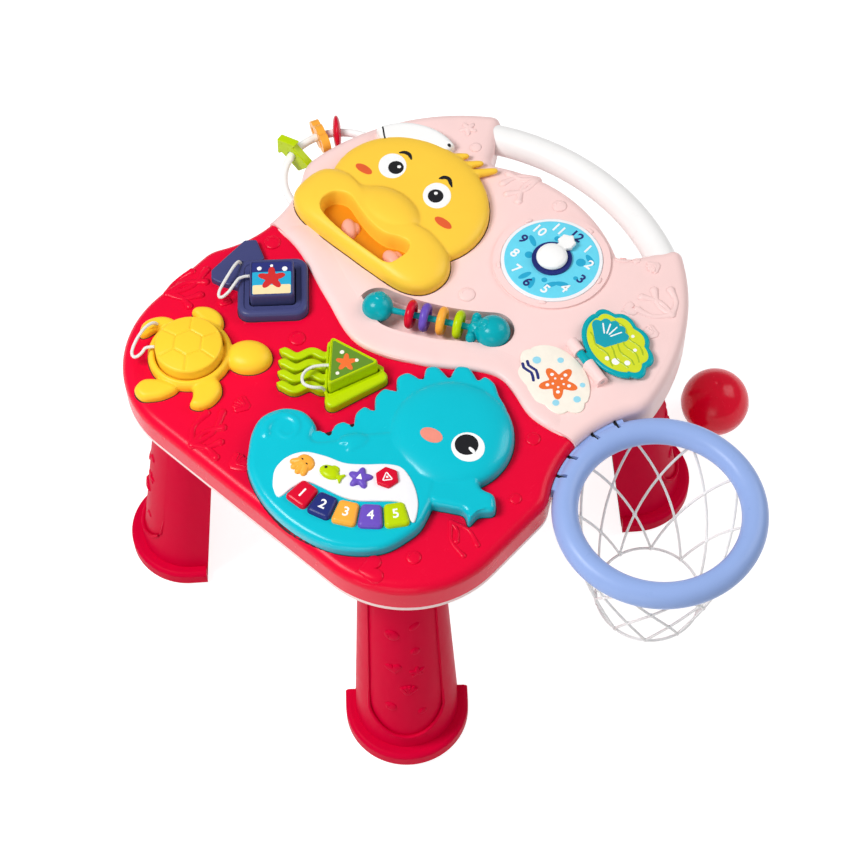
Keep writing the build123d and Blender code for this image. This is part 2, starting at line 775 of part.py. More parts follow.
with BuildPart() as tray:
    with BuildSketch(Plane.XY.offset(TRAY_BOTTOM)):
        add(deck_plan(0))
    extrude(amount=TRAY_THICK)
    with BuildSketch(Plane.XY.offset(TRAY_TOP)):
        add(deck_plan(WALL + FIT))
        add(deck_plan(WALL + FIT + LIP_WALL), mode=Mode.SUBTRACT)
    extrude(amount=LIP_HEIGHT)
    with BuildSketch(Plane.XY.offset(TRAY_TOP)):
        with Locations((BATTERY_X, BATTERY_Y)):
            Rectangle(BATTERY_LENGTH + 2 * BATTERY_WALL, BATTERY_WIDTH + 2 * BATTERY_WALL)
    extrude(amount=BATTERY_TOP + BATTERY_WALL - TRAY_TOP)
    with BuildSketch(Plane.XY.offset(TRAY_BOTTOM)):
        with Locations((BATTERY_X, BATTERY_Y)):
            Rectangle(BATTERY_LENGTH, BATTERY_WIDTH)
    extrude(amount=BATTERY_TOP - TRAY_BOTTOM, mode=Mode.SUBTRACT)
    with BuildSketch(Plane.XY.offset(TRAY_BOTTOM)):
        with Locations((BATTERY_X, BATTERY_Y)):
            Rectangle(BATTERY_LENGTH + 2 * (DOOR_LIP + FIT), BATTERY_WIDTH + 2 * FIT)
    extrude(amount=DOOR_THICK, mode=Mode.SUBTRACT)
    for side_x, side_y in LEGS.values():
        with BuildSketch(leg_plane(side_x, side_y, TRAY_TOP)):
            add(plug_sketch(FIT + SLEEVE_WALL))
        extrude(amount=SLEEVE_HEIGHT)
        with BuildSketch(leg_plane(side_x, side_y, TRAY_BOTTOM)):
            add(plug_sketch(FIT))
        extrude(amount=TRAY_THICK + SLEEVE_HEIGHT, mode=Mode.SUBTRACT)
    with BuildSketch(Plane.XY.offset(TRAY_BOTTOM)):
        with Locations(*SCREW_SPOTS):
            Circle(SCREW_RADIUS + FIT)
        with Locations((SWITCH_X, SWITCH_Y)):
            Rectangle(SWITCH_WIDTH + 2 * FIT, SWITCH_SLOT)
        with Locations((SPEAKER_X, SPEAKER_Y)):
            with HexLocations(GRILLE_PITCH, GRILLE_ROWS, GRILLE_ROWS):
                Circle(GRILLE_HOLE)
    extrude(amount=TRAY_THICK, mode=Mode.SUBTRACT)
    add(handle_tube(HANDLE_TUBE + FIT, HANDLE_TUCK + 1), mode=Mode.SUBTRACT)
    add(tab_cut(FIT), mode=Mode.SUBTRACT)
save(tray.part, "tray")

with BuildPart() as tray_screws:
    with BuildSketch(Plane.XY.offset(TRAY_BOTTOM - SCREW_HEAD)):
        with Locations(*SCREW_SPOTS):
            Circle(SCREW_HEAD_RADIUS)
    extrude(amount=SCREW_HEAD)
    with BuildSketch(Plane.XY.offset(TRAY_BOTTOM)):
        with Locations(*SCREW_SPOTS):
            Circle(SCREW_RADIUS)
    extrude(amount=TRAY_THICK + SCREW_BITE)
save(tray_screws.part, "tray_screws")

with BuildPart() as battery_door:
    with BuildSketch(Plane.XY.offset(TRAY_BOTTOM)):
        with Locations((BATTERY_X, BATTERY_Y)):
            Rectangle(BATTERY_LENGTH + 2 * DOOR_LIP, BATTERY_WIDTH)
    extrude(amount=DOOR_THICK - FIT)
    fillet(battery_door.edges().filter_by(Axis.Z), DOOR_THICK / 2)
    with BuildSketch(Plane.XY.offset(TRAY_BOTTOM)):
        with Locations((BATTERY_X, BATTERY_Y)):
            with GridLocations(0, 2 * DOOR_THICK, 1, 4):
                SlotOverall(BATTERY_WIDTH / 2, DOOR_THICK / 2)
    extrude(amount=DOOR_THICK / 3, mode=Mode.SUBTRACT)
save(battery_door.part, "battery_door")

with BuildPart() as battery_cells:
    cell_ends = Plane(
        origin=(BATTERY_X - CELL_LENGTH / 2, BATTERY_Y, BATTERY_TOP - CELL_RADIUS), x_dir=(0, 1, 0), z_dir=(1, 0, 0)
    )
    with BuildSketch(cell_ends):
        with GridLocations(CELL_PITCH, 0, CELL_COUNT, 1):
            Circle(CELL_RADIUS)
    extrude(amount=CELL_LENGTH - CELL_RADIUS / 4)
    with BuildSketch(cell_ends.offset(CELL_LENGTH - CELL_RADIUS / 4)):
        with GridLocations(CELL_PITCH, 0, CELL_COUNT, 1):
            Circle(CELL_RADIUS / 3)
    extrude(amount=CELL_RADIUS / 4)
save(battery_cells.part, "battery_cells")

with BuildPart() as speaker:
    with BuildSketch(Plane.XY.offset(TRAY_TOP)):
        with Locations((SPEAKER_X, SPEAKER_Y)):
            Circle(SPEAKER_RADIUS)
            Circle(SPEAKER_RADIUS - SPEAKER_RIM, mode=Mode.SUBTRACT)
    extrude(amount=SPEAKER_HEIGHT / 3)
    with BuildSketch(Plane.XY.offset(TRAY_TOP + SPEAKER_HEIGHT / 3)):
        with Locations((SPEAKER_X, SPEAKER_Y)):
            Circle(SPEAKER_RADIUS)
    with BuildSketch(Plane.XY.offset(TRAY_TOP + SPEAKER_HEIGHT)):
        with Locations((SPEAKER_X, SPEAKER_Y)):
            Circle(SPEAKER_RADIUS / 2)
    loft()
save(speaker.part, "speaker")

with BuildPart() as power_switch:
    with BuildSketch(Plane.XY.offset(TRAY_BOTTOM - SWITCH_STAND)):
        with Locations((SWITCH_X, SWITCH_Y - SWITCH_TRAVEL / 2)):
            RectangleRounded(SWITCH_WIDTH, SWITCH_LENGTH, SWITCH_WIDTH / 4)
    extrude(amount=SWITCH_STAND + TRAY_THICK + FIT)
    with BuildSketch(Plane.XY.offset(TRAY_TOP + FIT)):
        with Locations((SWITCH_X, SWITCH_Y - SWITCH_TRAVEL / 2)):
            Rectangle(SWITCH_WIDTH + 2 * SWITCH_FLANGE, SWITCH_LENGTH + 2 * SWITCH_FLANGE)
    extrude(amount=SWITCH_FLANGE)
save(power_switch.part, "power_switch")

with BuildPart() as carry_handle:
    add(handle_tube(HANDLE_TUBE, HANDLE_TUCK))
    add(handle_tube(HANDLE_TUBE - HANDLE_WALL, HANDLE_TUCK), mode=Mode.SUBTRACT)
save(carry_handle.part, "carry_handle")


# Ring with charms, and the white saddle behind the duck
with BuildPart() as toy_ring:
    add(ring_wire(RING_WIRE))
save(toy_ring.part, "toy_ring")


def charm_plane(angle, tilt=0):
    standing = radial_plane(RING_X, RING_Y, angle)
    out = standing.x_dir * cos(radians(tilt)) + Vector(0, 0, sin(radians(tilt)))
    middle = Vector(*polar(RING_RADIUS, angle, (RING_X, RING_Y)), PINK_TOP - RING_DROP)
    return Plane(origin=middle, x_dir=out, z_dir=standing.z_dir).offset(-CHARM_THICK / 2)


WIRE_SAG = CHARM_THICK**2 / (8 * RING_RADIUS)
CHARM_BORE = RING_WIRE + WIRE_SAG + FIT


with BuildPart() as charm_arrow:
    arrow_plane = charm_plane(CHARM_ANGLE["charm_arrow"], ARROW_TILT)
    with BuildSketch(arrow_plane) as arrow:
        with BuildLine():
            Polyline(
                (ARROW_NECK, ARROW_HEAD_HALF),
                (ARROW_TIP, 0),
                (ARROW_NECK, -ARROW_HEAD_HALF),
                (ARROW_NECK, -ARROW_SHAFT_HALF),
                (-ARROW_TAIL, -ARROW_SHAFT_HALF),
                (-ARROW_TAIL, ARROW_SHAFT_HALF),
                (ARROW_NECK, ARROW_SHAFT_HALF),
                close=True,
            )
        make_face()
        fillet(arrow.vertices(), ARROW_ROUND)
        Circle(CHARM_BORE, mode=Mode.SUBTRACT)
    extrude(amount=CHARM_THICK)
    arrow_ends = charm_arrow.faces().sort_by(Axis(arrow_plane.origin, arrow_plane.z_dir))
    fillet(arrow_ends[0].edges() + arrow_ends[-1].edges(), ARROW_EDGE)
save(charm_arrow.part, "charm_arrow")

with BuildPart() as charm_loop:
    with BuildSketch(charm_plane(CHARM_ANGLE["charm_loop"])):
        Circle(CHARM_BORE + LOOP_WALL)
        loop_eyes = [(LOOP_EYE_ALONG, LOOP_EYE_UP), (-LOOP_EYE_ALONG, -LOOP_EYE_UP)]
        with Locations(*loop_eyes):
            Circle(LOOP_EYE_RADIUS)
        with Locations(*loop_eyes):
            Circle(LOOP_HOLE, mode=Mode.SUBTRACT)
        Circle(CHARM_BORE, mode=Mode.SUBTRACT)
    extrude(amount=CHARM_THICK)
save(charm_loop.part, "charm_loop")

with BuildPart() as charm_disc:
    with BuildSketch(charm_plane(CHARM_ANGLE["charm_disc"])):
        Circle(CHARM_DISC_RADIUS)
        Circle(CHARM_BORE, mode=Mode.SUBTRACT)
    extrude(amount=CHARM_THICK)
    charm_rims = charm_disc.edges().filter_by(GeomType.CIRCLE).sort_by(SortBy.RADIUS)[-2:]
    fillet(charm_rims, CHARM_DISC_ROUND)
save(charm_disc.part, "charm_disc")


def pebble(plane, outline, height, rounding):
    """An outline raised from a plane with its top edge rounded."""
    with BuildPart() as raised:
        with BuildSketch(plane):
            add(outline)
        extrude(amount=height)
        fillet(raised.faces().sort_by(Axis.Z)[-1].edges(), rounding)
    return raised.part


def ellipse(half_length, half_width):
    with BuildSketch() as shape:
        Ellipse(half_length, half_width)
    return shape.sketch


def slot(length, width):
    with BuildSketch() as shape:
        SlotOverall(length, width)
    return shape.sketch


HEAD_PLANE = turned_plane(DUCK_X, HEAD_Y, PINK_TOP, 0)


def saddle_outline():
    with BuildSketch() as shape:
        Ellipse(HEAD_HALF_WIDTH + FIT + SADDLE_WIDTH, HEAD_HALF_DEPTH + FIT + SADDLE_WIDTH)
        Ellipse(HEAD_HALF_WIDTH + FIT, HEAD_HALF_DEPTH + FIT, mode=Mode.SUBTRACT)
        with BuildLine():
            Polyline((0, 0), polar(REACH, SADDLE_START), polar(REACH, SADDLE_END), close=True)
        make_face(mode=Mode.INTERSECT)
        fillet(shape.vertices(), SADDLE_ROUND)
    return shape.sketch


with BuildPart() as ring_saddle:
    add(pebble(HEAD_PLANE, saddle_outline(), SADDLE_HEIGHT, SADDLE_ROUND))
save(ring_saddle.part, "ring_saddle")


# Duck: a domed face with a wide bill, an open mouth and three tufts
def mouth(height, share):
    """The mouth's opening, or a plate of a share of its size that lies in it."""
    with BuildPart() as cavity:
        with BuildSketch(turned_plane(DUCK_X, BILL_Y + MOUTH_MIDDLE, PINK_TOP, 0)):
            with BuildLine():
                Spline(*[(x * share, (y - MOUTH_MIDDLE) * share) for x, y in MOUTH], periodic=True)
            make_face()
        extrude(amount=height)
    return cavity.part


with BuildPart() as duck_face:
    add(pebble(HEAD_PLANE, ellipse(HEAD_HALF_WIDTH, HEAD_HALF_DEPTH), HEAD_HEIGHT, HEAD_ROUND))
    bill_outline = slot(2 * BILL_HALF_WIDTH, 2 * BILL_HALF_DEPTH)
    add(pebble(turned_plane(DUCK_X, BILL_Y, PINK_TOP, 0), bill_outline, BILL_HEIGHT, BILL_ROUND))
    bridge_outline = ellipse(BRIDGE_HALF_WIDTH, BRIDGE_HALF_DEPTH)
    add(pebble(turned_plane(DUCK_X, BRIDGE_Y, PINK_TOP, 0), bridge_outline, BRIDGE_HEIGHT, BRIDGE_ROUND))
    for x, y, turn in TUFTS:
        tuft_plane = turned_plane(DUCK_X + x, HEAD_Y + y, PINK_TOP, turn)
        add(pebble(tuft_plane, slot(TUFT_LENGTH, TUFT_WIDTH), TUFT_HEIGHT, TUFT_ROUND))
    add(mouth(BILL_HEIGHT, 1), mode=Mode.SUBTRACT)
    with BuildSketch(turned_plane(DUCK_X, HEAD_Y + BRIDGE_HALF_DEPTH, PINK_TOP, 0)):
        Ellipse(HEAD_HALF_WIDTH - 2 * HEAD_ROUND, HEAD_HALF_DEPTH - BRIDGE_HALF_DEPTH - 2 * HEAD_ROUND)
    extrude(amount=HEAD_HEIGHT - WALL, mode=Mode.SUBTRACT)
save(duck_face.part, "duck_face")

with BuildPart() as duck_tongue:
    add(mouth(TONGUE_THICK, TONGUE_SHARE))
    for side in (-1, 1):
        tongue_plane = turned_plane(DUCK_X + side * TONGUE_SPREAD, BILL_Y + MOUTH_MIDDLE, PINK_TOP, 0)
        tongue_outline = ellipse(TONGUE_HALF_LENGTH, TONGUE_HALF_WIDTH)
        add(pebble(tongue_plane, tongue_outline, TONGUE_HEIGHT, TONGUE_THICK))
save(duck_tongue.part, "duck_tongue")


# Clock: a dial in a raised seat, a hub with a spindle and a hand that turns on it
DIAL_TOP = PINK_TOP + DIAL_THICK
HUB_TOP = DIAL_TOP + HUB_THICK
HAND_BOTTOM = HUB_TOP + FIT

with BuildPart() as clock_dial:
    with BuildSketch(Plane.XY.offset(PINK_TOP)):
        with Locations((CLOCK_X, CLOCK_Y)):
            Circle(DIAL_RADIUS)
            Circle(SPINDLE_RADIUS + SEAM / 2, mode=Mode.SUBTRACT)
    extrude(amount=DIAL_THICK)
    dial_rim = clock_dial.faces().sort_by(Axis.Z)[-1].edges().sort_by(SortBy.LENGTH)[-1]
    fillet(dial_rim, DIAL_ROUND)
save(clock_dial.part, "clock_dial")

with BuildPart() as clock_hub:
    with BuildSketch(Plane.XY.offset(DIAL_TOP)):
        with Locations((CLOCK_X, CLOCK_Y)):
            Circle(HUB_RADIUS)
    extrude(amount=HUB_THICK)
    with BuildSketch(Plane.XY.offset(PINK_TOP - WALL)):
        with Locations((CLOCK_X, CLOCK_Y)):
            Circle(SPINDLE_RADIUS)
    extrude(amount=HAND_BOTTOM + KNOB_HEIGHT / 2 - PINK_TOP + WALL)
save(clock_hub.part, "clock_hub")

with BuildPart() as clock_hand:
    with BuildSketch(Plane.XY.offset(HAND_BOTTOM)):
        with Locations((CLOCK_X, CLOCK_Y)):
            Circle(KNOB_RADIUS)
    extrude(amount=KNOB_HEIGHT)
    fillet(clock_hand.faces().sort_by(Axis.Z)[-1].edges(), KNOB_ROUND)
    with BuildSketch(turned_plane(CLOCK_X, CLOCK_Y, HAND_BOTTOM, 90)):
        with Locations((POINTER_REACH / 2, 0)):
            Rectangle(POINTER_REACH, POINTER_RADIUS)
        with Locations((POINTER_REACH, 0)):
            RegularPolygon(POINTER_RADIUS, 3)
    extrude(amount=POINTER_THICK)
    with BuildSketch(Plane.XY.offset(HAND_BOTTOM)):
        with Locations((CLOCK_X, CLOCK_Y)):
            Circle(SPINDLE_RADIUS + RUN)
    extrude(amount=KNOB_HEIGHT / 2 + FIT, mode=Mode.SUBTRACT)
save(clock_hand.part, "clock_hand")


# Bead rod across a long recess, with four rings that slide on it
ROD_WAY = Vector(cos(radians(BEAD_TURN)), sin(radians(BEAD_TURN)), 0)
ROD_MIDDLE = Vector(BEAD_X, BEAD_Y, PINK_TOP)


def rod_plane(along):
    return Plane(origin=ROD_MIDDLE + ROD_WAY * along, x_dir=(0, 0, 1), z_dir=ROD_WAY)


with BuildPart() as bead_rod:
    with BuildSketch(rod_plane(-RECESS_SPAN / 2)):
        Circle(ROD_RADIUS)
    extrude(amount=RECESS_SPAN)
    with Locations(ROD_MIDDLE - ROD_WAY * RECESS_SPAN / 2, ROD_MIDDLE + ROD_WAY * RECESS_SPAN / 2):
        Sphere(ROD_BALL)
    with BuildSketch(rod_plane(FIN_AT - FIN_THICK / 2)):
        Circle(FIN_RADIUS)
    extrude(amount=FIN_THICK)
    with BuildSketch(bead_plane(-RECESS_DEPTH)):
        with Locations((-RECESS_SPAN / 2, 0), (RECESS_SPAN / 2, 0)):
            Circle(ROD_POST)
    extrude(amount=RECESS_DEPTH)
save(bead_rod.part, "bead_rod")

for bead_name, along in BEAD_PLACES.items():
    middle = ROD_MIDDLE + ROD_WAY * along
    with BuildPart() as bead:
        with BuildSketch(Plane(origin=middle, x_dir=(0, 0, 1), z_dir=ROD_WAY.cross(Vector(0, 0, 1)))):
            with Locations((BEAD_RADIUS - BEAD_TUBE, 0)):
                Circle(BEAD_TUBE)
            with Locations(((BEAD_RADIUS - BEAD_TUBE) / 2, 0)):
                Rectangle(BEAD_RADIUS - BEAD_TUBE, BEAD_WEB)
            with Locations(((ROD_RADIUS + RUN) / 2, 0)):
                Rectangle(ROD_RADIUS + RUN, 4 * BEAD_TUBE, mode=Mode.SUBTRACT)
        revolve(axis=Axis(middle, ROD_WAY))
    save(bead.part, bead_name)


# Flip page on a pin between two ears, and the fixed picture that it folds over
def page_outline(grow):
    with BuildSketch() as shape:
        with Locations((PAGE_OFFSET, PAGE_REACH)):
            Ellipse(PAGE_HALF_LENGTH + grow, PAGE_HALF_WIDTH + grow)
            for lobe in range(PAGE_LOBES):
                angle = radians(PAGE_LOBE_START + PAGE_LOBE_STEP * lobe)
                with Locations((PAGE_LOBE_ALONG * cos(angle), PAGE_LOBE_ACROSS * sin(angle))):
                    Circle(PAGE_LOBE_RADIUS + grow)
    return shape.sketch


with BuildPart() as flip_page:
    with BuildSketch(page_plane(PAGE_LIFT - PAGE_THICK / 2)):
        add(page_outline(0))
        with Locations((0, PAGE_REACH / 3)):
            Rectangle(STEM_WIDTH, PAGE_REACH * 2 / 3)
    extrude(amount=PAGE_THICK)
    for side in (0, 1):
        with BuildSketch(page_plane(PAGE_LIFT - PAGE_THICK / 2 + side * (PAGE_THICK - PAGE_SINK))):
            add(page_outline(-PAGE_FRAME))
        extrude(amount=PAGE_SINK, mode=Mode.SUBTRACT)
    with BuildSketch(page_axis_plane(-BARREL_LENGTH / 2)):
        Circle(BARREL_RADIUS)
    extrude(amount=BARREL_LENGTH)
    with BuildSketch(page_axis_plane(-BARREL_LENGTH / 2)):
        Circle(PIN_RADIUS + RUN)
    extrude(amount=BARREL_LENGTH, mode=Mode.SUBTRACT)
save(flip_page.part, "flip_page")

with BuildPart() as page_pin:
    with BuildSketch(page_axis_plane(EAR_SPANS[0][0])):
        Circle(PIN_RADIUS)
    extrude(amount=EAR_SPANS[1][1] - EAR_SPANS[0][0])
save(page_pin.part, "page_pin")

with BuildPart() as picture_disc:
    with BuildSketch(page_plane(0)):
        add(mirror(page_outline(0), about=Plane.XZ, mode=Mode.PRIVATE))
    extrude(amount=PICTURE_THICK)
save(picture_disc.part, "picture_disc")


# Shape sorter: three animals whose loose blocks lift out of their sockets
BASE_TOP = RED_TOP + BASE_HEIGHT
BLOCK_TOP = BASE_TOP + BLOCK_STAND
TURTLE_PLANE = turned_plane(TURTLE_X, TURTLE_Y, RED_TOP, 0)
SQUARE_PLANE = turned_plane(SQUARE_X, SQUARE_Y, RED_TOP, SQUARE_TURN)
TRIANGLE_PLANE = turned_plane(TRIANGLE_X, TRIANGLE_Y, RED_TOP, TRIANGLE_TURN)


def disc(radius):
    with BuildSketch() as shape:
        Circle(radius)
    return shape.sketch


def rounded(length, width, corner):
    with BuildSketch() as shape:
        RectangleRounded(length, width, corner)
    return shape.sketch


def rounded_triangle(radius, corner):
    with BuildSketch() as shape:
        RegularPolygon(radius, 3)
        fillet(shape.vertices(), corner)
    return shape.sketch


def cord_hole(spot):
    with BuildPart() as hole:
        with BuildSketch(Plane.XY.offset(RED_TOP)):
            with Locations(spot):
                Circle(CORD_HOLE)
        extrude(amount=BASE_HEIGHT)
    return hole.part


def socket(plane, outline):
    with BuildPart() as well:
        with BuildSketch(plane):
            add(outline)
        extrude(amount=BASE_HEIGHT)
    return well.part


with BuildPart() as turtle_base:
    add(pebble(TURTLE_PLANE, disc(TURTLE_RADIUS), BASE_HEIGHT, BASE_ROUND))
    head_spot = polar(TURTLE_HEAD_REACH, TURTLE_TURN, (TURTLE_X, TURTLE_Y))
    head_outline = ellipse(TURTLE_HEAD_LENGTH, TURTLE_HEAD_WIDTH)
    head_plane = turned_plane(*head_spot, RED_TOP, TURTLE_TURN)
    add(pebble(head_plane, head_outline, TURTLE_HEAD_HEIGHT, TURTLE_HEAD_ROUND))
    for x, y, turn in FLIPPERS:
        flipper_plane = turned_plane(TURTLE_X + x, TURTLE_Y + y, RED_TOP, turn)
        add(pebble(flipper_plane, slot(FLIPPER_LENGTH, FLIPPER_WIDTH), FLIPPER_HEIGHT, FLIPPER_ROUND))
    add(socket(TURTLE_PLANE, disc(SHELL_RADIUS + SOCKET_GAP)), mode=Mode.SUBTRACT)
    add(cord_hole(FLIPPER_HOLE), mode=Mode.SUBTRACT)
save(turtle_base.part, "turtle_base")

with BuildPart() as turtle_shell:
    add(pebble(TURTLE_PLANE, disc(SHELL_RADIUS), BLOCK_TOP - RED_TOP, BLOCK_STAND / 2))
save(turtle_shell.part, "turtle_shell")

with BuildPart() as square_base:
    base_outline = rounded(SQUARE_BASE_SIDE, SQUARE_BASE_SIDE, SQUARE_BASE_ROUND)
    add(pebble(SQUARE_PLANE, base_outline, BASE_HEIGHT, BASE_ROUND))
    tag_outline = rounded(TAG_WIDTH, TAG_LENGTH, TAG_ROUND)
    add(pebble(turned_plane(TAG_X, TAG_Y, RED_TOP, 0), tag_outline, TAG_HEIGHT, BASE_ROUND))
    square_well = rounded(SQUARE_SIDE + 2 * SOCKET_GAP, SQUARE_SIDE + 2 * SOCKET_GAP, SQUARE_ROUND)
    add(socket(SQUARE_PLANE, square_well), mode=Mode.SUBTRACT)
    add(cord_hole(TAG_HOLE), mode=Mode.SUBTRACT)
save(square_base.part, "square_base")

with BuildPart() as square_block:
    block_outline = rounded(SQUARE_SIDE, SQUARE_SIDE, SQUARE_ROUND)
    add(pebble(SQUARE_PLANE, block_outline, BLOCK_TOP - RED_TOP, BLOCK_ROUND))
save(square_block.part, "square_block")

with BuildPart() as triangle_base:
    add(pebble(TRIANGLE_PLANE, rounded_triangle(TRIANGLE_BASE_RADIUS, TRIANGLE_BASE_ROUND), BASE_HEIGHT, BASE_ROUND))
    for arm in range(ARM_COUNT):
        across = (arm - (ARM_COUNT - 1) / 2) * ARM_PITCH
        arm_spot = TRIANGLE_PLANE.from_local_coords(Vector(ARM_MIDDLE, across, 0))
        arm_plane = turned_plane(arm_spot.X, arm_spot.Y, RED_TOP, TRIANGLE_TURN)
        add(pebble(arm_plane, slot(ARM_LENGTH, ARM_WIDTH), ARM_HEIGHT, ARM_ROUND))
    triangle_well = rounded_triangle(TRIANGLE_RADIUS + 2 * SOCKET_GAP, TRIANGLE_ROUND)
    add(socket(TRIANGLE_PLANE, triangle_well), mode=Mode.SUBTRACT)
    add(cord_hole(TRIANGLE_HOLE), mode=Mode.SUBTRACT)
save(triangle_base.part, "triangle_base")

with BuildPart() as triangle_block:
    add(pebble(TRIANGLE_PLANE, rounded_triangle(TRIANGLE_RADIUS, TRIANGLE_ROUND), BLOCK_TOP - RED_TOP, BLOCK_ROUND))
save(triangle_block.part, "triangle_block")


def cord_radii(points):
    """The largest bend that each corner's two runs allow."""
    radii = []
    for before, here, after in zip(points, points[1:], points[2:]):
        run_in = Vector(*here) - Vector(*before)
        run_out = Vector(*after) - Vector(*here)
        turn = radians(run_in.get_angle(run_out))
        radii.append(0.45 * min(run_in.length, run_out.length) / tan(turn / 2))
    return radii


CORDS = {"square_cord": SQUARE_CORD, "turtle_cord": TURTLE_CORD, "triangle_cord": TRIANGLE_CORD}
for cord_name, spots in CORDS.items():
    points = [(x, y, RED_TOP + height) for x, y, height in spots]
    radii = cord_radii(points)
    with BuildPart() as cord:
        with BuildLine() as route:
            FilletPolyline(*points, radius=radii)
        with BuildSketch(Plane(origin=route.line @ 0, z_dir=route.line % 0)):
            Circle(CORD_RADIUS)
        sweep()
    full = pi * CORD_RADIUS**2 * route.wires()[0].length
    print(cord_name, "radii", [round(r, 1) for r in radii], "volume ratio", round(cord.part.volume / full, 4))
    save(cord.part, cord_name)


# Seahorse cover over the keyboard
KEY_INNER = KEY_RADIUS - KEY_LENGTH / 2
KEY_OUTER = KEY_RADIUS + KEY_LENGTH / 2
KEYS_START = KEY_MIDDLE - KEY_STEP * len(KEY_NAMES) / 2
KEYS_END = KEY_MIDDLE + KEY_STEP * len(KEY_NAMES) / 2
KEY_SLACK = KEY_GAP / KEY_RADIUS * 180 / pi


def keys_plane(height):
    return turned_plane(KEYS_X, KEYS_Y, height, 0)


def horse_lump(spot, outline, height, turn=0.0):
    return pebble(turned_plane(*spot, RED_TOP, turn), outline, height, HORSE_ROUND)


def keys_window(grow):
    return sector(KEY_INNER - grow, KEY_OUTER + grow, KEYS_START - KEY_SLACK, KEYS_END + KEY_SLACK)


def button_outline(name, grow):
    with BuildSketch() as shape:
        if name == "button_octopus":
            with Locations((0, OCTOPUS_HEAD_UP)):
                Circle(OCTOPUS_HEAD + grow)
            with Locations((0, -OCTOPUS_ARM_DOWN)):
                with GridLocations(OCTOPUS_ARM_PITCH, 0, OCTOPUS_ARMS, 1):
                    Circle(OCTOPUS_ARM + grow)
        elif name == "button_fish":
            with Locations((-FISH_SHIFT, 0)):
                Ellipse(FISH_HALF_LENGTH + grow, FISH_HALF_WIDTH + grow)
            with Locations((FISH_TAIL_AT, FISH_TAIL_SPREAD), (FISH_TAIL_AT, -FISH_TAIL_SPREAD)):
                Ellipse(FISH_TAIL_HALF_LENGTH + grow, FISH_TAIL_HALF_WIDTH + grow)
        elif name == "button_star":
            Circle(STAR_RADIUS + grow)
            with PolarLocations(STAR_REACH, STAR_POINTS, start_angle=90):
                Circle(STAR_LOBE + grow)
        else:
            RegularPolygon(HEXAGON_HALF_WIDTH + grow, 6, major_radius=False)
            fillet(shape.vertices(), HEXAGON_ROUND + grow)
    return shape.sketch


def button_plane(name, height):
    radius, angle = BUTTON_SPOTS[name]
    spot = polar(radius, angle, (KEYS_X, KEYS_Y))
    return turned_plane(*spot, height, angle + 90)


FLANGE_TOP = POCKET_TOP - FIT
POCKET_SLACK = FLANGE_OVERHANG + FIT
BUTTON_ROOM = BUTTON_FLANGE + 2 * FIT
BUTTONS_INNER = min(radius for radius, angle in BUTTON_SPOTS.values()) - BUTTON_ROOM
BUTTONS_START = min(angle - degrees(BUTTON_ROOM / radius) for radius, angle in BUTTON_SPOTS.values())
BUTTONS_END = max(angle + degrees(BUTTON_ROOM / radius) for radius, angle in BUTTON_SPOTS.values())


def pocket(inset, height):
    """The hollow under the keys and buttons."""
    with BuildPart() as hollow:
        with BuildSketch(keys_plane(RED_TOP)):
            add(keys_window(POCKET_SLACK - inset))
            add(
                sector(
                    BUTTONS_INNER + inset,
                    KEY_RADIUS,
                    BUTTONS_START + inset,
                    BUTTONS_END - inset,
                )
            )
        extrude(amount=height)
    return hollow.part


with BuildPart() as seahorse_cover:
    add(horse_lump(HORSE_HEAD, disc(HORSE_HEAD_RADIUS), HORSE_HEIGHT))
    add(horse_lump(HORSE_NECK, ellipse(HORSE_NECK_HALF_LENGTH, HORSE_NECK_HALF_WIDTH), HORSE_HEIGHT))
    add(horse_lump(HORSE_BODY, ellipse(HORSE_BODY_HALF_LENGTH, HORSE_BODY_HALF_WIDTH), HORSE_HEIGHT))
    add(horse_lump(HORSE_RUMP, disc(HORSE_RUMP_RADIUS), HORSE_HEIGHT))
    snout_spot = polar(SNOUT_REACH, SNOUT_TURN, HORSE_HEAD)
    add(horse_lump(snout_spot, slot(SNOUT_LENGTH, SNOUT_WIDTH), HORSE_HEIGHT - MANE_DROP, SNOUT_TURN))
    for reach, angle in MANE:
        mane_spot = polar(reach - MANE_RADIUS, angle, HORSE_HEAD)
        add(horse_lump(mane_spot, disc(MANE_RADIUS), HORSE_HEIGHT - MANE_DROP))
    add(horse_lump(TAIL_NUB, disc(TAIL_NUB_RADIUS), HORSE_HEIGHT - MANE_DROP))
    add(pebble(turned_plane(*HORSE_HEAD, HORSE_TOP - FACE_HEIGHT, 0), disc(FACE_RADIUS), 2 * FACE_HEIGHT, FACE_ROUND))
    add(pocket(0, POCKET_TOP - RED_TOP), mode=Mode.SUBTRACT)
    with BuildSketch(keys_plane(POCKET_TOP)):
        add(keys_window(FIT))
    extrude(amount=HORSE_SKIN, mode=Mode.SUBTRACT)
    for name in BUTTON_SPOTS:
        with BuildSketch(button_plane(name, POCKET_TOP)):
            add(button_outline(name, BUTTON_GAP))
        extrude(amount=HORSE_SKIN, mode=Mode.SUBTRACT)
save(seahorse_cover.part, "seahorse_cover")

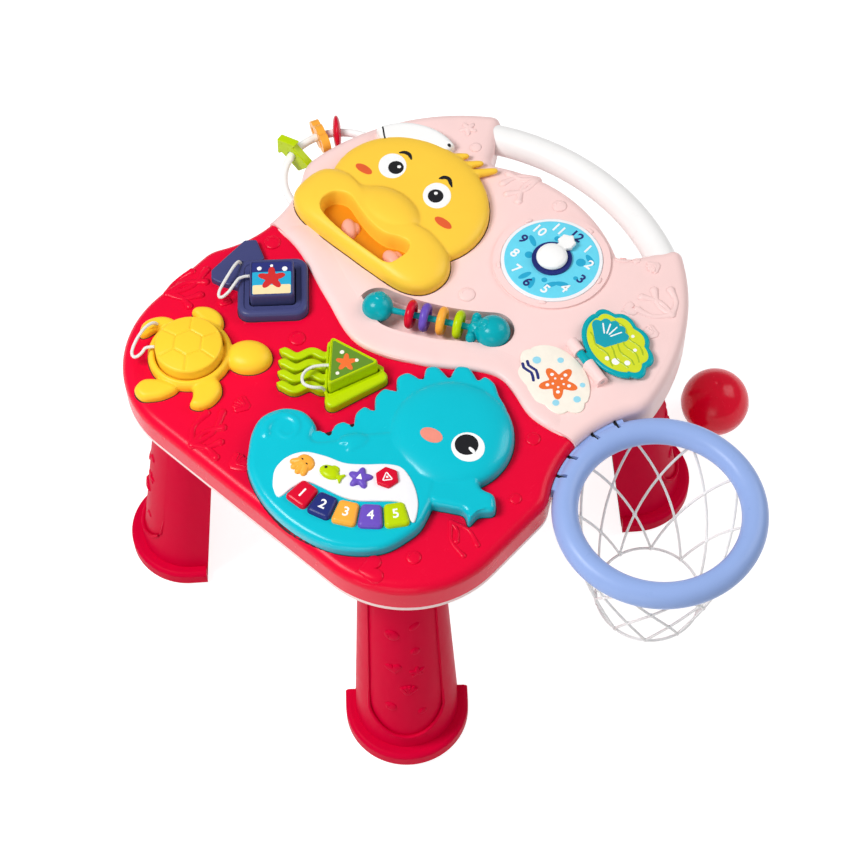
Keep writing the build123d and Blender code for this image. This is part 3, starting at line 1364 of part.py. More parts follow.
with BuildPart() as key_panel:
    with BuildSketch(keys_plane(HORSE_TOP)):
        with BuildLine():
            edge = Spline(*[polar(radius, angle) for radius, angle in PANEL_EDGE])
            Line(edge @ 1, polar(KEY_INNER - FIT, KEYS_END + KEY_SLACK))
            CenterArc((0, 0), KEY_INNER - FIT, KEYS_START - KEY_SLACK, KEYS_END - KEYS_START + 2 * KEY_SLACK)
            Line(polar(KEY_INNER - FIT, KEYS_START - KEY_SLACK), edge @ 0)
        make_face()
    extrude(amount=PANEL_THICK)
    for name in BUTTON_SPOTS:
        with BuildSketch(button_plane(name, HORSE_TOP)):
            add(button_outline(name, BUTTON_GAP))
        extrude(amount=PANEL_THICK, mode=Mode.SUBTRACT)
save(key_panel.part, "key_panel")

for number, key_name in enumerate(KEY_NAMES):
    start = KEYS_START + number * KEY_STEP + KEY_SLACK / 2
    end = start + KEY_STEP - KEY_SLACK
    with BuildPart() as key:
        with BuildSketch(keys_plane(FLANGE_TOP - FLANGE_THICK)) as key_cap:
            add(sector(KEY_INNER, KEY_OUTER, start, end))
            fillet(key_cap.vertices(), KEY_ROUND)
        extrude(amount=HORSE_TOP + KEY_STAND - FLANGE_TOP + FLANGE_THICK)
        fillet(key.faces().sort_by(Axis.Z)[-1].edges(), KEY_TOP_ROUND)
        with BuildSketch(keys_plane(FLANGE_TOP - FLANGE_THICK)):
            add(sector(KEY_INNER - FLANGE_OVERHANG, KEY_OUTER + FLANGE_OVERHANG, start, end))
        extrude(amount=FLANGE_THICK)
    save(key.part, key_name)

for button_name in BUTTON_SPOTS:
    with BuildPart() as button:
        with BuildSketch(button_plane(button_name, FLANGE_TOP)):
            add(button_outline(button_name, 0))
        extrude(amount=PANEL_TOP + BUTTON_STAND - FLANGE_TOP)
        with BuildSketch(button_plane(button_name, FLANGE_TOP - FLANGE_THICK)):
            Circle(BUTTON_FLANGE)
        extrude(amount=FLANGE_THICK)
    save(button.part, button_name)

with BuildPart() as circuit_board:
    add(pocket(FIT, BOARD_THICK))
save(circuit_board.part, "circuit_board")

with BuildPart() as key_mat:
    add(pocket(FIT, BOARD_THICK + MAT_THICK))
    with BuildSketch(keys_plane(RED_TOP + BOARD_THICK + MAT_THICK)):
        for number in range(len(KEY_NAMES)):
            with Locations(polar(KEY_RADIUS, KEYS_START + (number + 0.5) * KEY_STEP)):
                Circle(DOME_RADIUS)
        for radius, angle in BUTTON_SPOTS.values():
            with Locations(polar(radius, angle)):
                Circle(DOME_RADIUS)
    extrude(amount=DOME_HEIGHT)
    add(pocket(0, BOARD_THICK), mode=Mode.SUBTRACT)
save(key_mat.part, "key_mat")


# Hoop with its bracket and net, and the loose ball
HOOP_Z = PINK_TOP - HOOP_DROP

with BuildPart() as hoop:
    with Locations((HOOP_X, WAIST_Y, HOOP_Z)):
        Torus(HOOP_RADIUS, HOOP_TUBE)
    with BuildSketch(turned_plane(WAIST_X, WAIST_Y, HOOP_Z - BRACKET_HEIGHT / 2, 0)) as bracket:
        inner = WAIST_X - HOOP_X + HOOP_RADIUS
        add(sector(inner, WAIST_RADIUS - FIT, 180 - BRACKET_HALF_ANGLE, 180 + BRACKET_HALF_ANGLE))
    extrude(amount=BRACKET_HEIGHT)
    for angle in SLOT_ANGLES:
        slot_spot = polar(WAIST_RADIUS - SLOT_LENGTH / 2, angle, (WAIST_X, WAIST_Y))
        with BuildSketch(turned_plane(*slot_spot, HOOP_Z + BRACKET_HEIGHT / 2 - SLOT_DEPTH, angle)):
            Rectangle(SLOT_LENGTH, SLOT_WIDTH)
        extrude(amount=SLOT_DEPTH + HOOP_TUBE, mode=Mode.SUBTRACT)
    add(tab_cut(0))
save(hoop.part, "hoop")

NET_TOP = HOOP_Z - HOOP_TUBE - FIT
NET_PITCH = (NET_LENGTH - 2 * NET_BAND) / (NET_ROWS + 1)


def net_radius(drop):
    return HOOP_RADIUS + (NET_BOTTOM_RADIUS - HOOP_RADIUS) * drop / NET_LENGTH


with BuildPart() as net:
    with BuildSketch(radial_plane(HOOP_X, WAIST_Y, 0)):
        with BuildLine():
            Polyline(
                (HOOP_RADIUS, NET_TOP),
                (HOOP_RADIUS + NET_THICK, NET_TOP),
                (NET_BOTTOM_RADIUS + NET_THICK, NET_TOP - NET_LENGTH),
                (NET_BOTTOM_RADIUS, NET_TOP - NET_LENGTH),
                close=True,
            )
        make_face()
    revolve(axis=Axis((HOOP_X, WAIST_Y, 0), (0, 0, 1)))
    for row in range(NET_ROWS):
        drop = NET_BAND + (row + 1) * NET_PITCH
        half_width = pi * net_radius(drop) / NET_COLUMNS - NET_STRAND
        half_height = NET_PITCH - NET_STRAND
        for column in range(NET_COLUMNS):
            angle = 360 / NET_COLUMNS * (column + 0.5 * (row % 2))
            out = (cos(radians(angle)), sin(radians(angle)), 0)
            spot = (HOOP_X, WAIST_Y, NET_TOP - drop)
            with BuildSketch(Plane(origin=spot, x_dir=(-out[1], out[0], 0), z_dir=out)):
                with BuildLine():
                    Polyline((half_width, 0), (0, half_height), (-half_width, 0), (0, -half_height), close=True)
                make_face()
            extrude(amount=HOOP_RADIUS + HOOP_TUBE, mode=Mode.SUBTRACT)
save(net.part, "net")

with BuildPart() as ball:
    with Locations((BALL_X, BALL_Y, BALL_RADIUS)):
        Sphere(BALL_RADIUS)
save(ball.part, "ball")
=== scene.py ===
import math

import bmesh
import bpy
from mathutils import Matrix, Vector
from mathutils.bvhtree import BVHTree


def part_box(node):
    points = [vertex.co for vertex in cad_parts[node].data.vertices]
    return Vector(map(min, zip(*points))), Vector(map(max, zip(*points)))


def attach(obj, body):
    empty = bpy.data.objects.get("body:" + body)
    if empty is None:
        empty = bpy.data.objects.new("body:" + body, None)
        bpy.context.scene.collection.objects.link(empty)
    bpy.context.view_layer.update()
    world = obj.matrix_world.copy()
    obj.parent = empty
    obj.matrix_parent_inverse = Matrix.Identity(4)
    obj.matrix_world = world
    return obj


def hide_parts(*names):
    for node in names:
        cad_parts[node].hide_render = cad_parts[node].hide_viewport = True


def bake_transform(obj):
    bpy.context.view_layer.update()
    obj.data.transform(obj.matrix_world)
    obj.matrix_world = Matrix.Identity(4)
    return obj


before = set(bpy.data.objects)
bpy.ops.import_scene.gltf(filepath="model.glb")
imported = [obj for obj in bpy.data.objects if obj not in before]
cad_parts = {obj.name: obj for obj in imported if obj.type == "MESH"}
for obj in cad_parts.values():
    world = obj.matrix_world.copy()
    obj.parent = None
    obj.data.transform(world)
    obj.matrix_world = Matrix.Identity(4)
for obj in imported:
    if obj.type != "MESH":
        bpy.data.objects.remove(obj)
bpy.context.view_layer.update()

MM = 0.001
SHARP_EDGE = math.radians(40)
TABLE = "table"

# The pieces are laid out in the table's own millimetres, where the clock's centre is known.
CLOCK = (39, 135)
dial_low, dial_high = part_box("clock_dial")
SHIFT = Vector((
    (dial_low.x + dial_high.x) / 2 - CLOCK[0] * MM,
    (dial_low.y + dial_high.y) / 2 - CLOCK[1] * MM,
    0,
))


def spot(x, y, z):
    """A point of the table, in metres of the shared frame."""
    return Vector((x, y, z)) * MM + SHIFT


def top_of(node):
    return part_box(node)[1].z / MM


def foot_of(node):
    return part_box(node)[0].z / MM


RED = top_of("red_deck")
PINK = foot_of("clock_dial")
HORSE = foot_of("key_panel")
DIAL = top_of("clock_dial")
BLOCK_FOOT = foot_of("turtle_shell")
BLOCK_TOP = top_of("turtle_shell")
BASE_TOP = top_of("turtle_base")

# Camera: the photograph's view, worked out from the round dial and the round hoop.
FOCAL_PIXELS = 2250
IMAGE_PIXELS = 868
SENSOR = 36
CAMERA_SPOT = (716, -737, 1756)
PITCH = math.radians(57.8)
AZIMUTH = math.radians(43)
ROLL = math.radians(1.3)


def place_camera():
    right = Vector((math.cos(AZIMUTH), math.sin(AZIMUTH), 0))
    ahead = Vector((
        -math.sin(AZIMUTH) * math.cos(PITCH),
        math.cos(AZIMUTH) * math.cos(PITCH),
        -math.sin(PITCH),
    ))
    down = ahead.cross(right)
    across = right * math.cos(ROLL) + down * math.sin(ROLL)
    upward = right * math.sin(ROLL) - down * math.cos(ROLL)
    data = bpy.data.cameras.new("photo_camera")
    data.sensor_width = SENSOR
    data.lens = FOCAL_PIXELS * SENSOR / IMAGE_PIXELS
    data.clip_end = 60
    camera = bpy.data.objects.new("photo_camera", data)
    turn = Matrix((across, upward, -ahead)).transposed()
    camera.matrix_world = Matrix.Translation(spot(*CAMERA_SPOT)) @ turn.to_4x4()
    bpy.context.scene.collection.objects.link(camera)
    bpy.context.scene.camera = camera


place_camera()


# Finishes

def tone(red, green, blue):
    """A screen colour, 0 to 255, as the linear colour that the shader takes."""
    def linear(value):
        share = value / 255
        if share <= 0.04045:
            return share / 12.92
        return ((share + 0.055) / 1.055) ** 2.4
    return (linear(red), linear(green), linear(blue))


def shade(colour, factor):
    return tuple(min(1, part * factor) for part in colour)


class Value:
    """A socket that takes part in plain arithmetic."""

    def __init__(self, paint, socket):
        self.paint = paint
        self.socket = socket

    def __add__(self, other):
        return self.paint.math("ADD", self, other)

    __radd__ = __add__

    def __sub__(self, other):
        return self.paint.math("SUBTRACT", self, other)

    def __rsub__(self, other):
        return self.paint.math("SUBTRACT", other, self)

    def __mul__(self, other):
        return self.paint.math("MULTIPLY", self, other)

    __rmul__ = __mul__


class Paint:
    """One procedural finish: its material and the slot that it stands for."""

    def __init__(self, name, slot=None):
        self.slot = slot
        self.material = bpy.data.materials.new(name)
        self.material.use_nodes = True
        self.tree = self.material.node_tree
        self.tree.nodes.clear()
        self.shader = self.tree.nodes.new("ShaderNodeBsdfPrincipled")
        self.out = self.tree.nodes.new("ShaderNodeOutputMaterial")
        self.tree.links.new(self.shader.outputs[0], self.out.inputs[0])

    def feed(self, socket, value):
        if isinstance(value, Value):
            self.tree.links.new(value.socket, socket)
        elif socket.type == "RGBA":
            socket.default_value = (*value, 1)
        else:
            socket.default_value = value

    def node(self, kind, settings=None, sockets=None, out=0):
        made = self.tree.nodes.new(kind)
        for key, value in (settings or {}).items():
            setattr(made, key, value)
        for key, value in (sockets or {}).items():
            self.feed(made.inputs[key], value)
        return Value(self, made.outputs[out])

    def math(self, operation, first, second):
        return self.node("ShaderNodeMath", {"operation": operation}, {0: first, 1: second})

    def sine(self, value):
        return self.node("ShaderNodeMath", {"operation": "SINE"}, {0: value})

    def mix(self, share, first, second):
        settings = {"data_type": "RGBA"}
        return self.node("ShaderNodeMix", settings, {0: share, 6: first, 7: second}, out=2)

    def place(self):
        return self.node("ShaderNodeTexCoord", out="Object")

    def stretch(self, vector, scale):
        return self.node("ShaderNodeVectorMath", {"operation": "MULTIPLY"}, {0: vector, 1: scale})

    def noise(self, vector, scale, detail=2, rough=0.5):
        sockets = {"Vector": vector, "Scale": scale, "Detail": detail, "Roughness": rough}
        return self.node("ShaderNodeTexNoise", None, sockets)

    def band(self, value, low, high):
        """From 0 below low to 1 above high."""
        settings = {"interpolation_type": "SMOOTHSTEP"}
        sockets = {"Value": value, "From Min": low, "From Max": high}
        return self.node("ShaderNodeMapRange", settings, sockets)

    def set(self, **values):
        for key, value in values.items():
            self.feed(self.shader.inputs[key.replace("_", " ")], value)

    def bump(self, height, strength, distance):
        sockets = {"Strength": strength, "Distance": distance, "Height": height}
        self.feed(self.shader.inputs["Normal"], self.node("ShaderNodeBump", None, sockets))


def moulded_plastic(name, slot, colour, gloss=0.3, grain=0.1, shine=0.24):
    """Satin moulded plastic: faint flow marks, a fine spark-eroded grain, hairline rubs."""
    paint = Paint(name, slot)
    place = paint.place()
    flow = paint.noise(place, 13, 3)
    smudge = paint.noise(place, 75, 5, 0.62)
    grit = paint.noise(place, 1500, 2)
    hair = paint.noise(paint.stretch(place, (1400, 90, 300)), 1, 2)
    rub = paint.band(hair, 0.66, 0.8) * paint.band(smudge, 0.48, 0.62)
    body = paint.mix(flow * 0.7 + smudge * 0.3, shade(colour, 0.93), shade(colour, 1.06))
    paint.set(Base_Color=paint.mix(rub * 0.16, body, shade(colour, 1.3)))
    paint.set(Roughness=gloss + (smudge - 0.5) * 0.16 + rub * 0.1)
    paint.set(IOR=1.48, Specular_IOR_Level=shine)
    paint.bump(grit * 0.7 + smudge * 0.3, grain, 0.0003)
    return paint


def printed_film(name, slot, colour, gloss=0.28):
    """Ink under a clear film: a fine dot screen and slight unevenness of the ink."""
    paint = Paint(name, slot)
    place = paint.place()
    screen = {"Vector": place, "Scale": 1700, "Randomness": 0}
    dot = paint.band(paint.node("ShaderNodeTexVoronoi", None, screen, out="Distance"), 0.3, 0.5)
    uneven = paint.noise(place, 160, 3)
    ink = paint.mix(uneven, shade(colour, 0.93), shade(colour, 1.07))
    paint.set(Base_Color=paint.mix(dot * 0.12, ink, shade(colour, 1.18)))
    paint.set(Roughness=gloss + uneven * 0.1)
    paint.set(Coat_Weight=0.25, Coat_Roughness=0.15)
    paint.bump(uneven, 0.05, 0.0002)
    return paint


def braided_cord(name, slot, colour, pitch, around, furrow_shade=0.72):
    """Round braid: two crossing sets of yarns along the tube's own length and girth, with painted shade
    darkening the furrows between them.
    """
    paint = Paint(name, slot)
    chart = paint.node("ShaderNodeUVMap")
    along = paint.node("ShaderNodeSeparateXYZ", None, {0: chart}, out="X")
    girth = paint.node("ShaderNodeSeparateXYZ", None, {0: chart}, out="Y")
    run = along * (2 * math.pi / pitch)
    turn = girth * (2 * math.pi * around)
    weave = paint.sine(run + turn) * paint.sine(run - turn)
    fuzz = paint.noise(paint.place(), 2600, 3, 0.7)
    mask = weave * 0.5 + 0.5
    # Painted shade: the base colour darkens in the furrows between the yarns; the fuzz adds random tone.
    paint.set(Base_Color=paint.mix(mask * 0.8 + fuzz * 0.2, shade(colour, furrow_shade), colour))
    paint.set(Roughness=0.72 + fuzz * 0.2)
    paint.set(Sheen_Weight=0.25, Sheen_Roughness=0.5)
    paint.bump(mask + fuzz * 0.4, 0.6, 0.0003)
    return paint


def soft_rubber(name, slot, colour):
    paint = Paint(name, slot)
    place = paint.place()
    pores = paint.noise(place, 900, 4, 0.7)
    dust = paint.noise(place, 60, 5, 0.65)
    paint.set(Base_Color=paint.mix(paint.band(dust, 0.45, 0.75) * 0.5, colour, shade(colour, 2.2)))
    paint.set(Roughness=0.78 + dust * 0.18)
    paint.bump(pores, 0.3, 0.0004)
    return paint


def turned_steel(name, slot, colour):
    paint = Paint(name, slot)
    place = paint.place()
    brush = paint.noise(paint.stretch(place, (2200, 60, 60)), 1, 3)
    stain = paint.noise(place, 120, 4)
    paint.set(Base_Color=paint.mix(stain, shade(colour, 0.85), colour))
    paint.set(Metallic=1, Roughness=0.26 + brush * 0.2 + stain * 0.08)
    paint.bump(brush, 0.15, 0.0001)
    return paint


def wrapped_cell(name, slot):
    """Battery cells: a dark sleeve with a bright collar."""
    paint = Paint(name, slot)
    place = paint.place()
    across = paint.node("ShaderNodeSeparateXYZ", None, {0: place}, out="Y")
    stripe = paint.band(paint.sine(across * 140), 0.6, 0.7)
    scuff = paint.noise(place, 500, 4)
    paint.set(Base_Color=paint.mix(stripe, tone(45, 48, 55), tone(196, 158, 74)))
    paint.set(Roughness=0.3 + scuff * 0.2, Metallic=stripe * 0.6)
    paint.bump(scuff, 0.08, 0.0002)
    return paint


def etched_board(name, slot):
    """Circuit board: tracks under a green mask."""
    paint = Paint(name, slot)
    place = paint.place()
    settings = {"wave_type": "BANDS", "bands_direction": "DIAGONAL"}
    sockets = {"Vector": place, "Scale": 90, "Distortion": 6, "Detail": 1}
    track = paint.band(paint.node("ShaderNodeTexWave", settings, sockets), 0.7, 0.8)
    weave = paint.noise(place, 900, 2)
    paint.set(Base_Color=paint.mix(track, tone(20, 84, 52), tone(46, 128, 74)))
    paint.set(Roughness=0.35 + weave * 0.15)
    paint.bump(track + weave * 0.2, 0.3, 0.0002)
    return paint


def paper_cone(name, slot):
    paint = Paint(name, slot)
    place = paint.place()
    fibre = paint.noise(place, 1200, 4, 0.75)
    paint.set(Base_Color=paint.mix(fibre, tone(22, 22, 24), tone(52, 52, 56)))
    paint.set(Roughness=0.7 + fibre * 0.25)
    paint.bump(fibre, 0.4, 0.0003)
    return paint


def glossy_ball(name, slot, colour):
    """Glossy blow-moulded plastic with faint flow marks and scuffs."""
    paint = Paint(name, slot)
    place = paint.place()
    flow = paint.noise(place, 18, 3)
    scuff = paint.noise(place, 260, 5, 0.7)
    paint.set(Base_Color=paint.mix(flow, shade(colour, 0.9), shade(colour, 1.1)))
    paint.set(Roughness=0.2 + paint.band(scuff, 0.5, 0.75) * 0.14)
    paint.set(IOR=1.48, Specular_IOR_Level=0.3)
    paint.bump(scuff, 0.03, 0.0003)
    return paint


red = moulded_plastic("red_shell", "red_plastic", tone(230, 4, 52), 0.25, 0.08, 0.16)
# Painted shade: the legs take a darker copy of the deck's red plastic, for the shade on their upright sides.
red_leg_shaded = moulded_plastic("red_leg_shaded_shell", "red_plastic", tone(210, 0, 52), 0.42, 0.14, 0.03)
pink = moulded_plastic("pale_pink_shell", "pink_plastic", tone(250, 214, 211), 0.34)
tray = moulded_plastic("tray_shell", "tray_plastic", tone(248, 218, 216), 0.42, 0.2)
white = moulded_plastic("white_tube", "white_plastic", tone(250, 248, 247), 0.3)
panel_white = moulded_plastic("panel_white", "white_plastic", tone(242, 241, 244), 0.26)
yellow = moulded_plastic("duck_yellow", "yellow_plastic", tone(255, 204, 66), 0.34, 0.1, 0.2)
shell_yellow = moulded_plastic("turtle_yellow", "yellow_plastic", tone(255, 202, 50), 0.36, 0.16, 0.2)
tongue = moulded_plastic("tongue_pink", "mouth_plastic", tone(246, 176, 160), 0.4)
# Painted shade: the mouth's floor takes a deep orange, the duck's yellow as it looks in the shade inside the
# open mouth.
throat_shaded = moulded_plastic("throat_shaded_orange", "mouth_plastic", tone(226, 142, 22), 0.45)
teal = moulded_plastic("seahorse_teal", "teal_plastic", tone(0, 188, 206), 0.22, 0.08, 0.34)
deep_teal = moulded_plastic("rod_teal", "teal_plastic", tone(0, 166, 178), 0.22, 0.06, 0.24)
navy = moulded_plastic("navy_plastic", "navy_plastic", tone(36, 46, 116), 0.28)
slate = moulded_plastic("slate_block", "slate_plastic", tone(66, 70, 118), 0.32)
lime = moulded_plastic("lime_plastic", "lime_plastic", tone(186, 212, 2), 0.28, 0.08, 0.2)
orange = moulded_plastic("orange_plastic", "orange_plastic", tone(250, 172, 62), 0.28)
purple = moulded_plastic("purple_plastic", "purple_plastic", tone(108, 80, 188), 0.28)
crimson = moulded_plastic("crimson_plastic", "crimson_plastic", tone(214, 8, 46), 0.24, 0.06, 0.22)
periwinkle = moulded_plastic("hoop_blue", "periwinkle_plastic", tone(150, 176, 230), 0.3)
eye_white = printed_film("eye_white_ink", "cream_print", tone(250, 250, 250))
ink_black = printed_film("pupil_ink", "navy_plastic", tone(18, 18, 24), 0.2)
cheek_ink = printed_film("cheek_ink", "orange_plastic", tone(226, 92, 42))
blush_ink = printed_film("blush_ink", "orange_plastic", tone(236, 142, 124))
sky_ink = printed_film("dial_sky_ink", "turquoise_print", tone(102, 214, 240))
sea_ink = printed_film("dial_sea_ink", "turquoise_print", tone(30, 166, 206))
navy_ink = printed_film("navy_ink", "navy_plastic", tone(34, 42, 116))
white_ink = printed_film("white_ink", "cream_print", tone(250, 250, 250))
cream_ink = printed_film("cream_film", "cream_print", tone(250, 240, 226))
pale_blue_ink = printed_film("bubble_ink", "turquoise_print", tone(150, 216, 236))
orange_ink = printed_film("orange_ink", "orange_plastic", tone(238, 112, 44))
red_ink = printed_film("red_ink", "crimson_plastic", tone(206, 36, 36))
lime_ink = printed_film("lime_ink", "lime_plastic", tone(212, 222, 36))
olive_ink = printed_film("olive_ink", "lime_plastic", tone(164, 190, 14))
leaf_ink = printed_film("leaf_ink", "lime_plastic", tone(96, 138, 34))
sand_ink = printed_film("sand_ink", "cream_print", tone(246, 220, 170))
teal_ink = printed_film("teal_ink", "teal_plastic", tone(0, 160, 178))
# Painted shadow: the dark film for the shade inside slits, holes and slots.
slot_shade = soft_rubber("slot_shadow", "speaker_black", tone(14, 14, 18))
# Painted shadow: the dark film for the shade in the joints round set-in pieces.
seam_shade = soft_rubber("seam_shadow", "speaker_black", tone(52, 20, 26))
tether_white = braided_cord("tether_braid", "tether_cord", tone(244, 243, 240), 0.0026, 4)
net_white = braided_cord("net_braid", "net_cord", tone(254, 254, 254), 0.0022, 3, 0.93)
pad_grey = soft_rubber("foot_rubber", "pad_rubber", tone(70, 70, 74))
mat_grey = soft_rubber("key_mat_rubber", "mat_rubber", tone(120, 122, 126))
steel = turned_steel("turned_steel", "steel", tone(196, 198, 202))
cells = wrapped_cell("cell_sleeves", "cell_metal")
board = etched_board("board_mask", "board_green")
cone = paper_cone("speaker_paper", "speaker_black")
# Painted light: the ball takes a brighter red than the other crimson parts, to make up for the weaker light
# where it lies, farther from the lamps.
ball_red_lit = glossy_ball("ball_red_lit", "crimson_plastic", tone(252, 6, 50))

NODE_FINISHES = {
    "red_deck": red, "pink_deck": pink, "tray": tray,
    "leg_front_right": red_leg_shaded, "leg_front_left": red_leg_shaded,
    "leg_back_left": red_leg_shaded, "leg_back_right": red_leg_shaded,
    "carry_handle": white, "toy_ring": white,
    "charm_arrow": lime, "charm_loop": orange, "charm_disc": crimson,
    "clock_dial": panel_white, "clock_hub": navy,
    "bead_red": crimson, "bead_purple": purple, "bead_orange": orange, "bead_green": lime,
    "hoop": periwinkle, "tray_screws": steel, "page_pin": steel, "foot_pads": pad_grey,
    "battery_cells": cells, "battery_door": tray, "power_switch": crimson,
    "speaker": cone, "circuit_board": board, "key_mat": mat_grey,
}
for node_name, node_finish in NODE_FINISHES.items():
    for material_slot in bpy.data.objects[node_name].material_slots:
        material_slot.material = node_finish.material


# Outlines, in table millimetres, all running anticlockwise

def polar(x, y, radius, degrees):
    return (x + radius * math.cos(math.radians(degrees)), y + radius * math.sin(math.radians(degrees)))


def turned(points, x, y, degrees):
    """Points of a flat drawing turned and set down at a place."""
    c = math.cos(math.radians(degrees))
    s = math.sin(math.radians(degrees))
    return [(x + a * c - b * s, y + a * s + b * c) for a, b in points]


def ellipse(x, y, half_long, half_wide, degrees=0, count=48):
    ring = [math.tau * k / count for k in range(count)]
    return turned([(half_long * math.cos(a), half_wide * math.sin(a)) for a in ring], x, y, degrees)


def circle(x, y, radius, count=48):
    return ellipse(x, y, radius, radius, 0, count)


def curve_through(points, steps=6, closed=True):
    """A smooth line through the given points."""
    count = len(points)
    spans = count if closed else count - 1

    def at(index):
        if closed:
            return Vector(points[index % count])
        return Vector(points[max(0, min(count - 1, index))])
    line = []
    for k in range(spans):
        p0, p1, p2, p3 = at(k - 1), at(k), at(k + 1), at(k + 2)
        for step in range(steps):
            t = step / steps
            bend = p1 * 2 + (p2 - p0) * t + (p0 * 2 - p1 * 5 + p2 * 4 - p3) * t ** 2
            line.append(tuple((bend + (p1 * 3 - p0 - p2 * 3 + p3) * t ** 3) / 2))
    if not closed:
        line.append(tuple(points[-1]))
    return line


def rounded(points, radius, steps=5):
    """A polygon with its corners rounded."""
    line = []
    count = len(points)
    for k in range(count):
        before, corner, after = (Vector(points[(k + d) % count]) for d in (-1, 0, 1))
        back = (before - corner).normalized()
        on = (after - corner).normalized()
        half = math.acos(max(-1, min(1, back.dot(on)))) / 2
        hub = corner + (back + on).normalized() * radius / math.sin(half)
        start = corner + back * radius / math.tan(half)
        swing = math.pi - 2 * half
        arm = start - hub
        for step in range(steps + 1):
            turn = swing * step / steps
            c, s = math.cos(turn), math.sin(turn)
            line.append((hub.x + arm.x * c - arm.y * s, hub.y + arm.x * s + arm.y * c))
    return line


def box_outline(x, y, long, wide, radius, degrees=0):
    a, b = long / 2, wide / 2
    return turned(rounded([(-a, -b), (a, -b), (a, b), (-a, b)], radius), x, y, degrees)


def three_corners(x, y, reach, radius, degrees):
    """An even triangle with rounded corners."""
    return rounded([polar(x, y, reach, degrees + turn) for turn in (0, 120, 240)], radius, 6)


def star(x, y, radius, degrees=0, points=5, depth=0.26, count=60):
    ring = [math.tau * k / count for k in range(count)]
    reach = [radius * (1 - depth + depth * math.cos(points * a)) for a in ring]
    drawing = [(r * math.cos(a), r * math.sin(a)) for r, a in zip(reach, ring)]
    return turned(drawing, x, y, degrees)


def heart(x, y, radius, degrees=0, count=40):
    drawing = []
    for k in range(count):
        a = math.tau * k / count
        across = 16 * math.sin(a) ** 3
        up = 13 * math.cos(a) - 5 * math.cos(2 * a) - 2 * math.cos(3 * a) - math.cos(4 * a)
        drawing.append((-across * radius / 16, up * radius / 16))
    return turned(drawing, x, y, degrees)


def fan(x, y, radius, degrees=0, lobes=5):
    """A scallop shell's outline, opening towards the given angle."""
    drawing = [(-0.42 * radius, 0.22 * radius), (-0.42 * radius, -0.22 * radius)]
    count = lobes * 6
    for k in range(count + 1):
        a = math.radians(-68 + 136 * k / count)
        r = radius * (0.9 + 0.12 * abs(math.sin(math.pi * lobes * k / count)))
        drawing.append((r * math.cos(a), r * math.sin(a)))
    return turned(drawing, x, y, degrees)


def heading(line, k):
    """Which way a line of points runs at one of them."""
    return (line[min(k + 1, len(line) - 1)] - line[max(k - 1, 0)]).normalized()


def band_sides(path, widths):
    """The edges of a band along a line: the right one on, the left one back."""
    line = [Vector(p) for p in path]
    left, right = [], []
    for k, p in enumerate(line):
        along = heading(line, k)
        side = Vector((-along.y, along.x)) * widths[k] / 2
        left.append(tuple(p + side))
        right.append(tuple(p - side))
    return right, left[::-1]


def strip(path, width):
    """A band of even width along a line, with a point at each end."""
    def tip(end, inner):
        reach = (Vector(end) - Vector(inner)).normalized() * width / 2
        return tuple(Vector(end) + reach)
    right, left = band_sides(path, [width] * len(path))
    return right + [tip(path[-1], path[-2])] + left + [tip(path[0], path[1])]


def leaf(path, width):
    """A band along a line, widest in the middle, with narrow ends."""
    last = len(path) - 1
    swell = [0.22 + 0.78 * math.sin(math.pi * k / last) for k in range(last + 1)]
    right, left = band_sides(path, [width * share for share in swell])
    return right + left


PAGE_LONG = 34.5
PAGE_WIDE = 24.5
PAGE_LOBES = 5
PAGE_WAVE = 0.12
PAGE_POINTS = 96


def page_edge(scale=1.0):
    """The flip page's shell shape: smooth at the hinge, scalloped on the far side."""
    drawing = []
    hinge = math.radians(20)
    quarter = math.pi / 2
    for k in range(PAGE_POINTS):
        a = math.tau * k / PAGE_POINTS
        wave = 0
        if -hinge < math.remainder(a - quarter, math.tau) + quarter < math.pi:
            wave = abs(math.sin(PAGE_LOBES * (a + hinge) / 1.11)) - 0.4
        r = scale * (1 + PAGE_WAVE * wave)
        drawing.append((PAGE_LONG * r * math.cos(a), PAGE_WIDE * r * math.sin(a)))
    return drawing


def anticlockwise(outline):
    turn = sum(a[0] * b[1] - b[0] * a[1] for a, b in zip(outline, outline[1:] + outline[:1]))
    return outline if turn > 0 else outline[::-1]


def middle(outline):
    count = len(outline)
    return sum(p[0] for p in outline) / count, sum(p[1] for p in outline) / count


def inset(outline, depth):
    """The outline moved inwards by a depth."""
    line = []
    count = len(outline)
    for k, (x, y) in enumerate(outline):
        ax, ay = outline[k - 1]
        bx, by = outline[(k + 1) % count]
        run = math.hypot(bx - ax, by - ay) or 1
        line.append((x - (by - ay) / run * depth, y + (bx - ax) / run * depth))
    return line


def crown(power, steps):
    """Shares of breadth and height from the rim of a dome to its top."""
    for k in range(steps + 1):
        a = math.pi / 2 * min(k / steps, 0.985)
        yield math.cos(a) ** (2 / power), math.sin(a) ** (2 / power)


# Seats: what a drawing is laid on

RAY_HIGH = 400
RAY_OUT = 0.2
WALL_IN = 0.15


def level(z):
    return lambda x, y, h: (x, y, z + h)


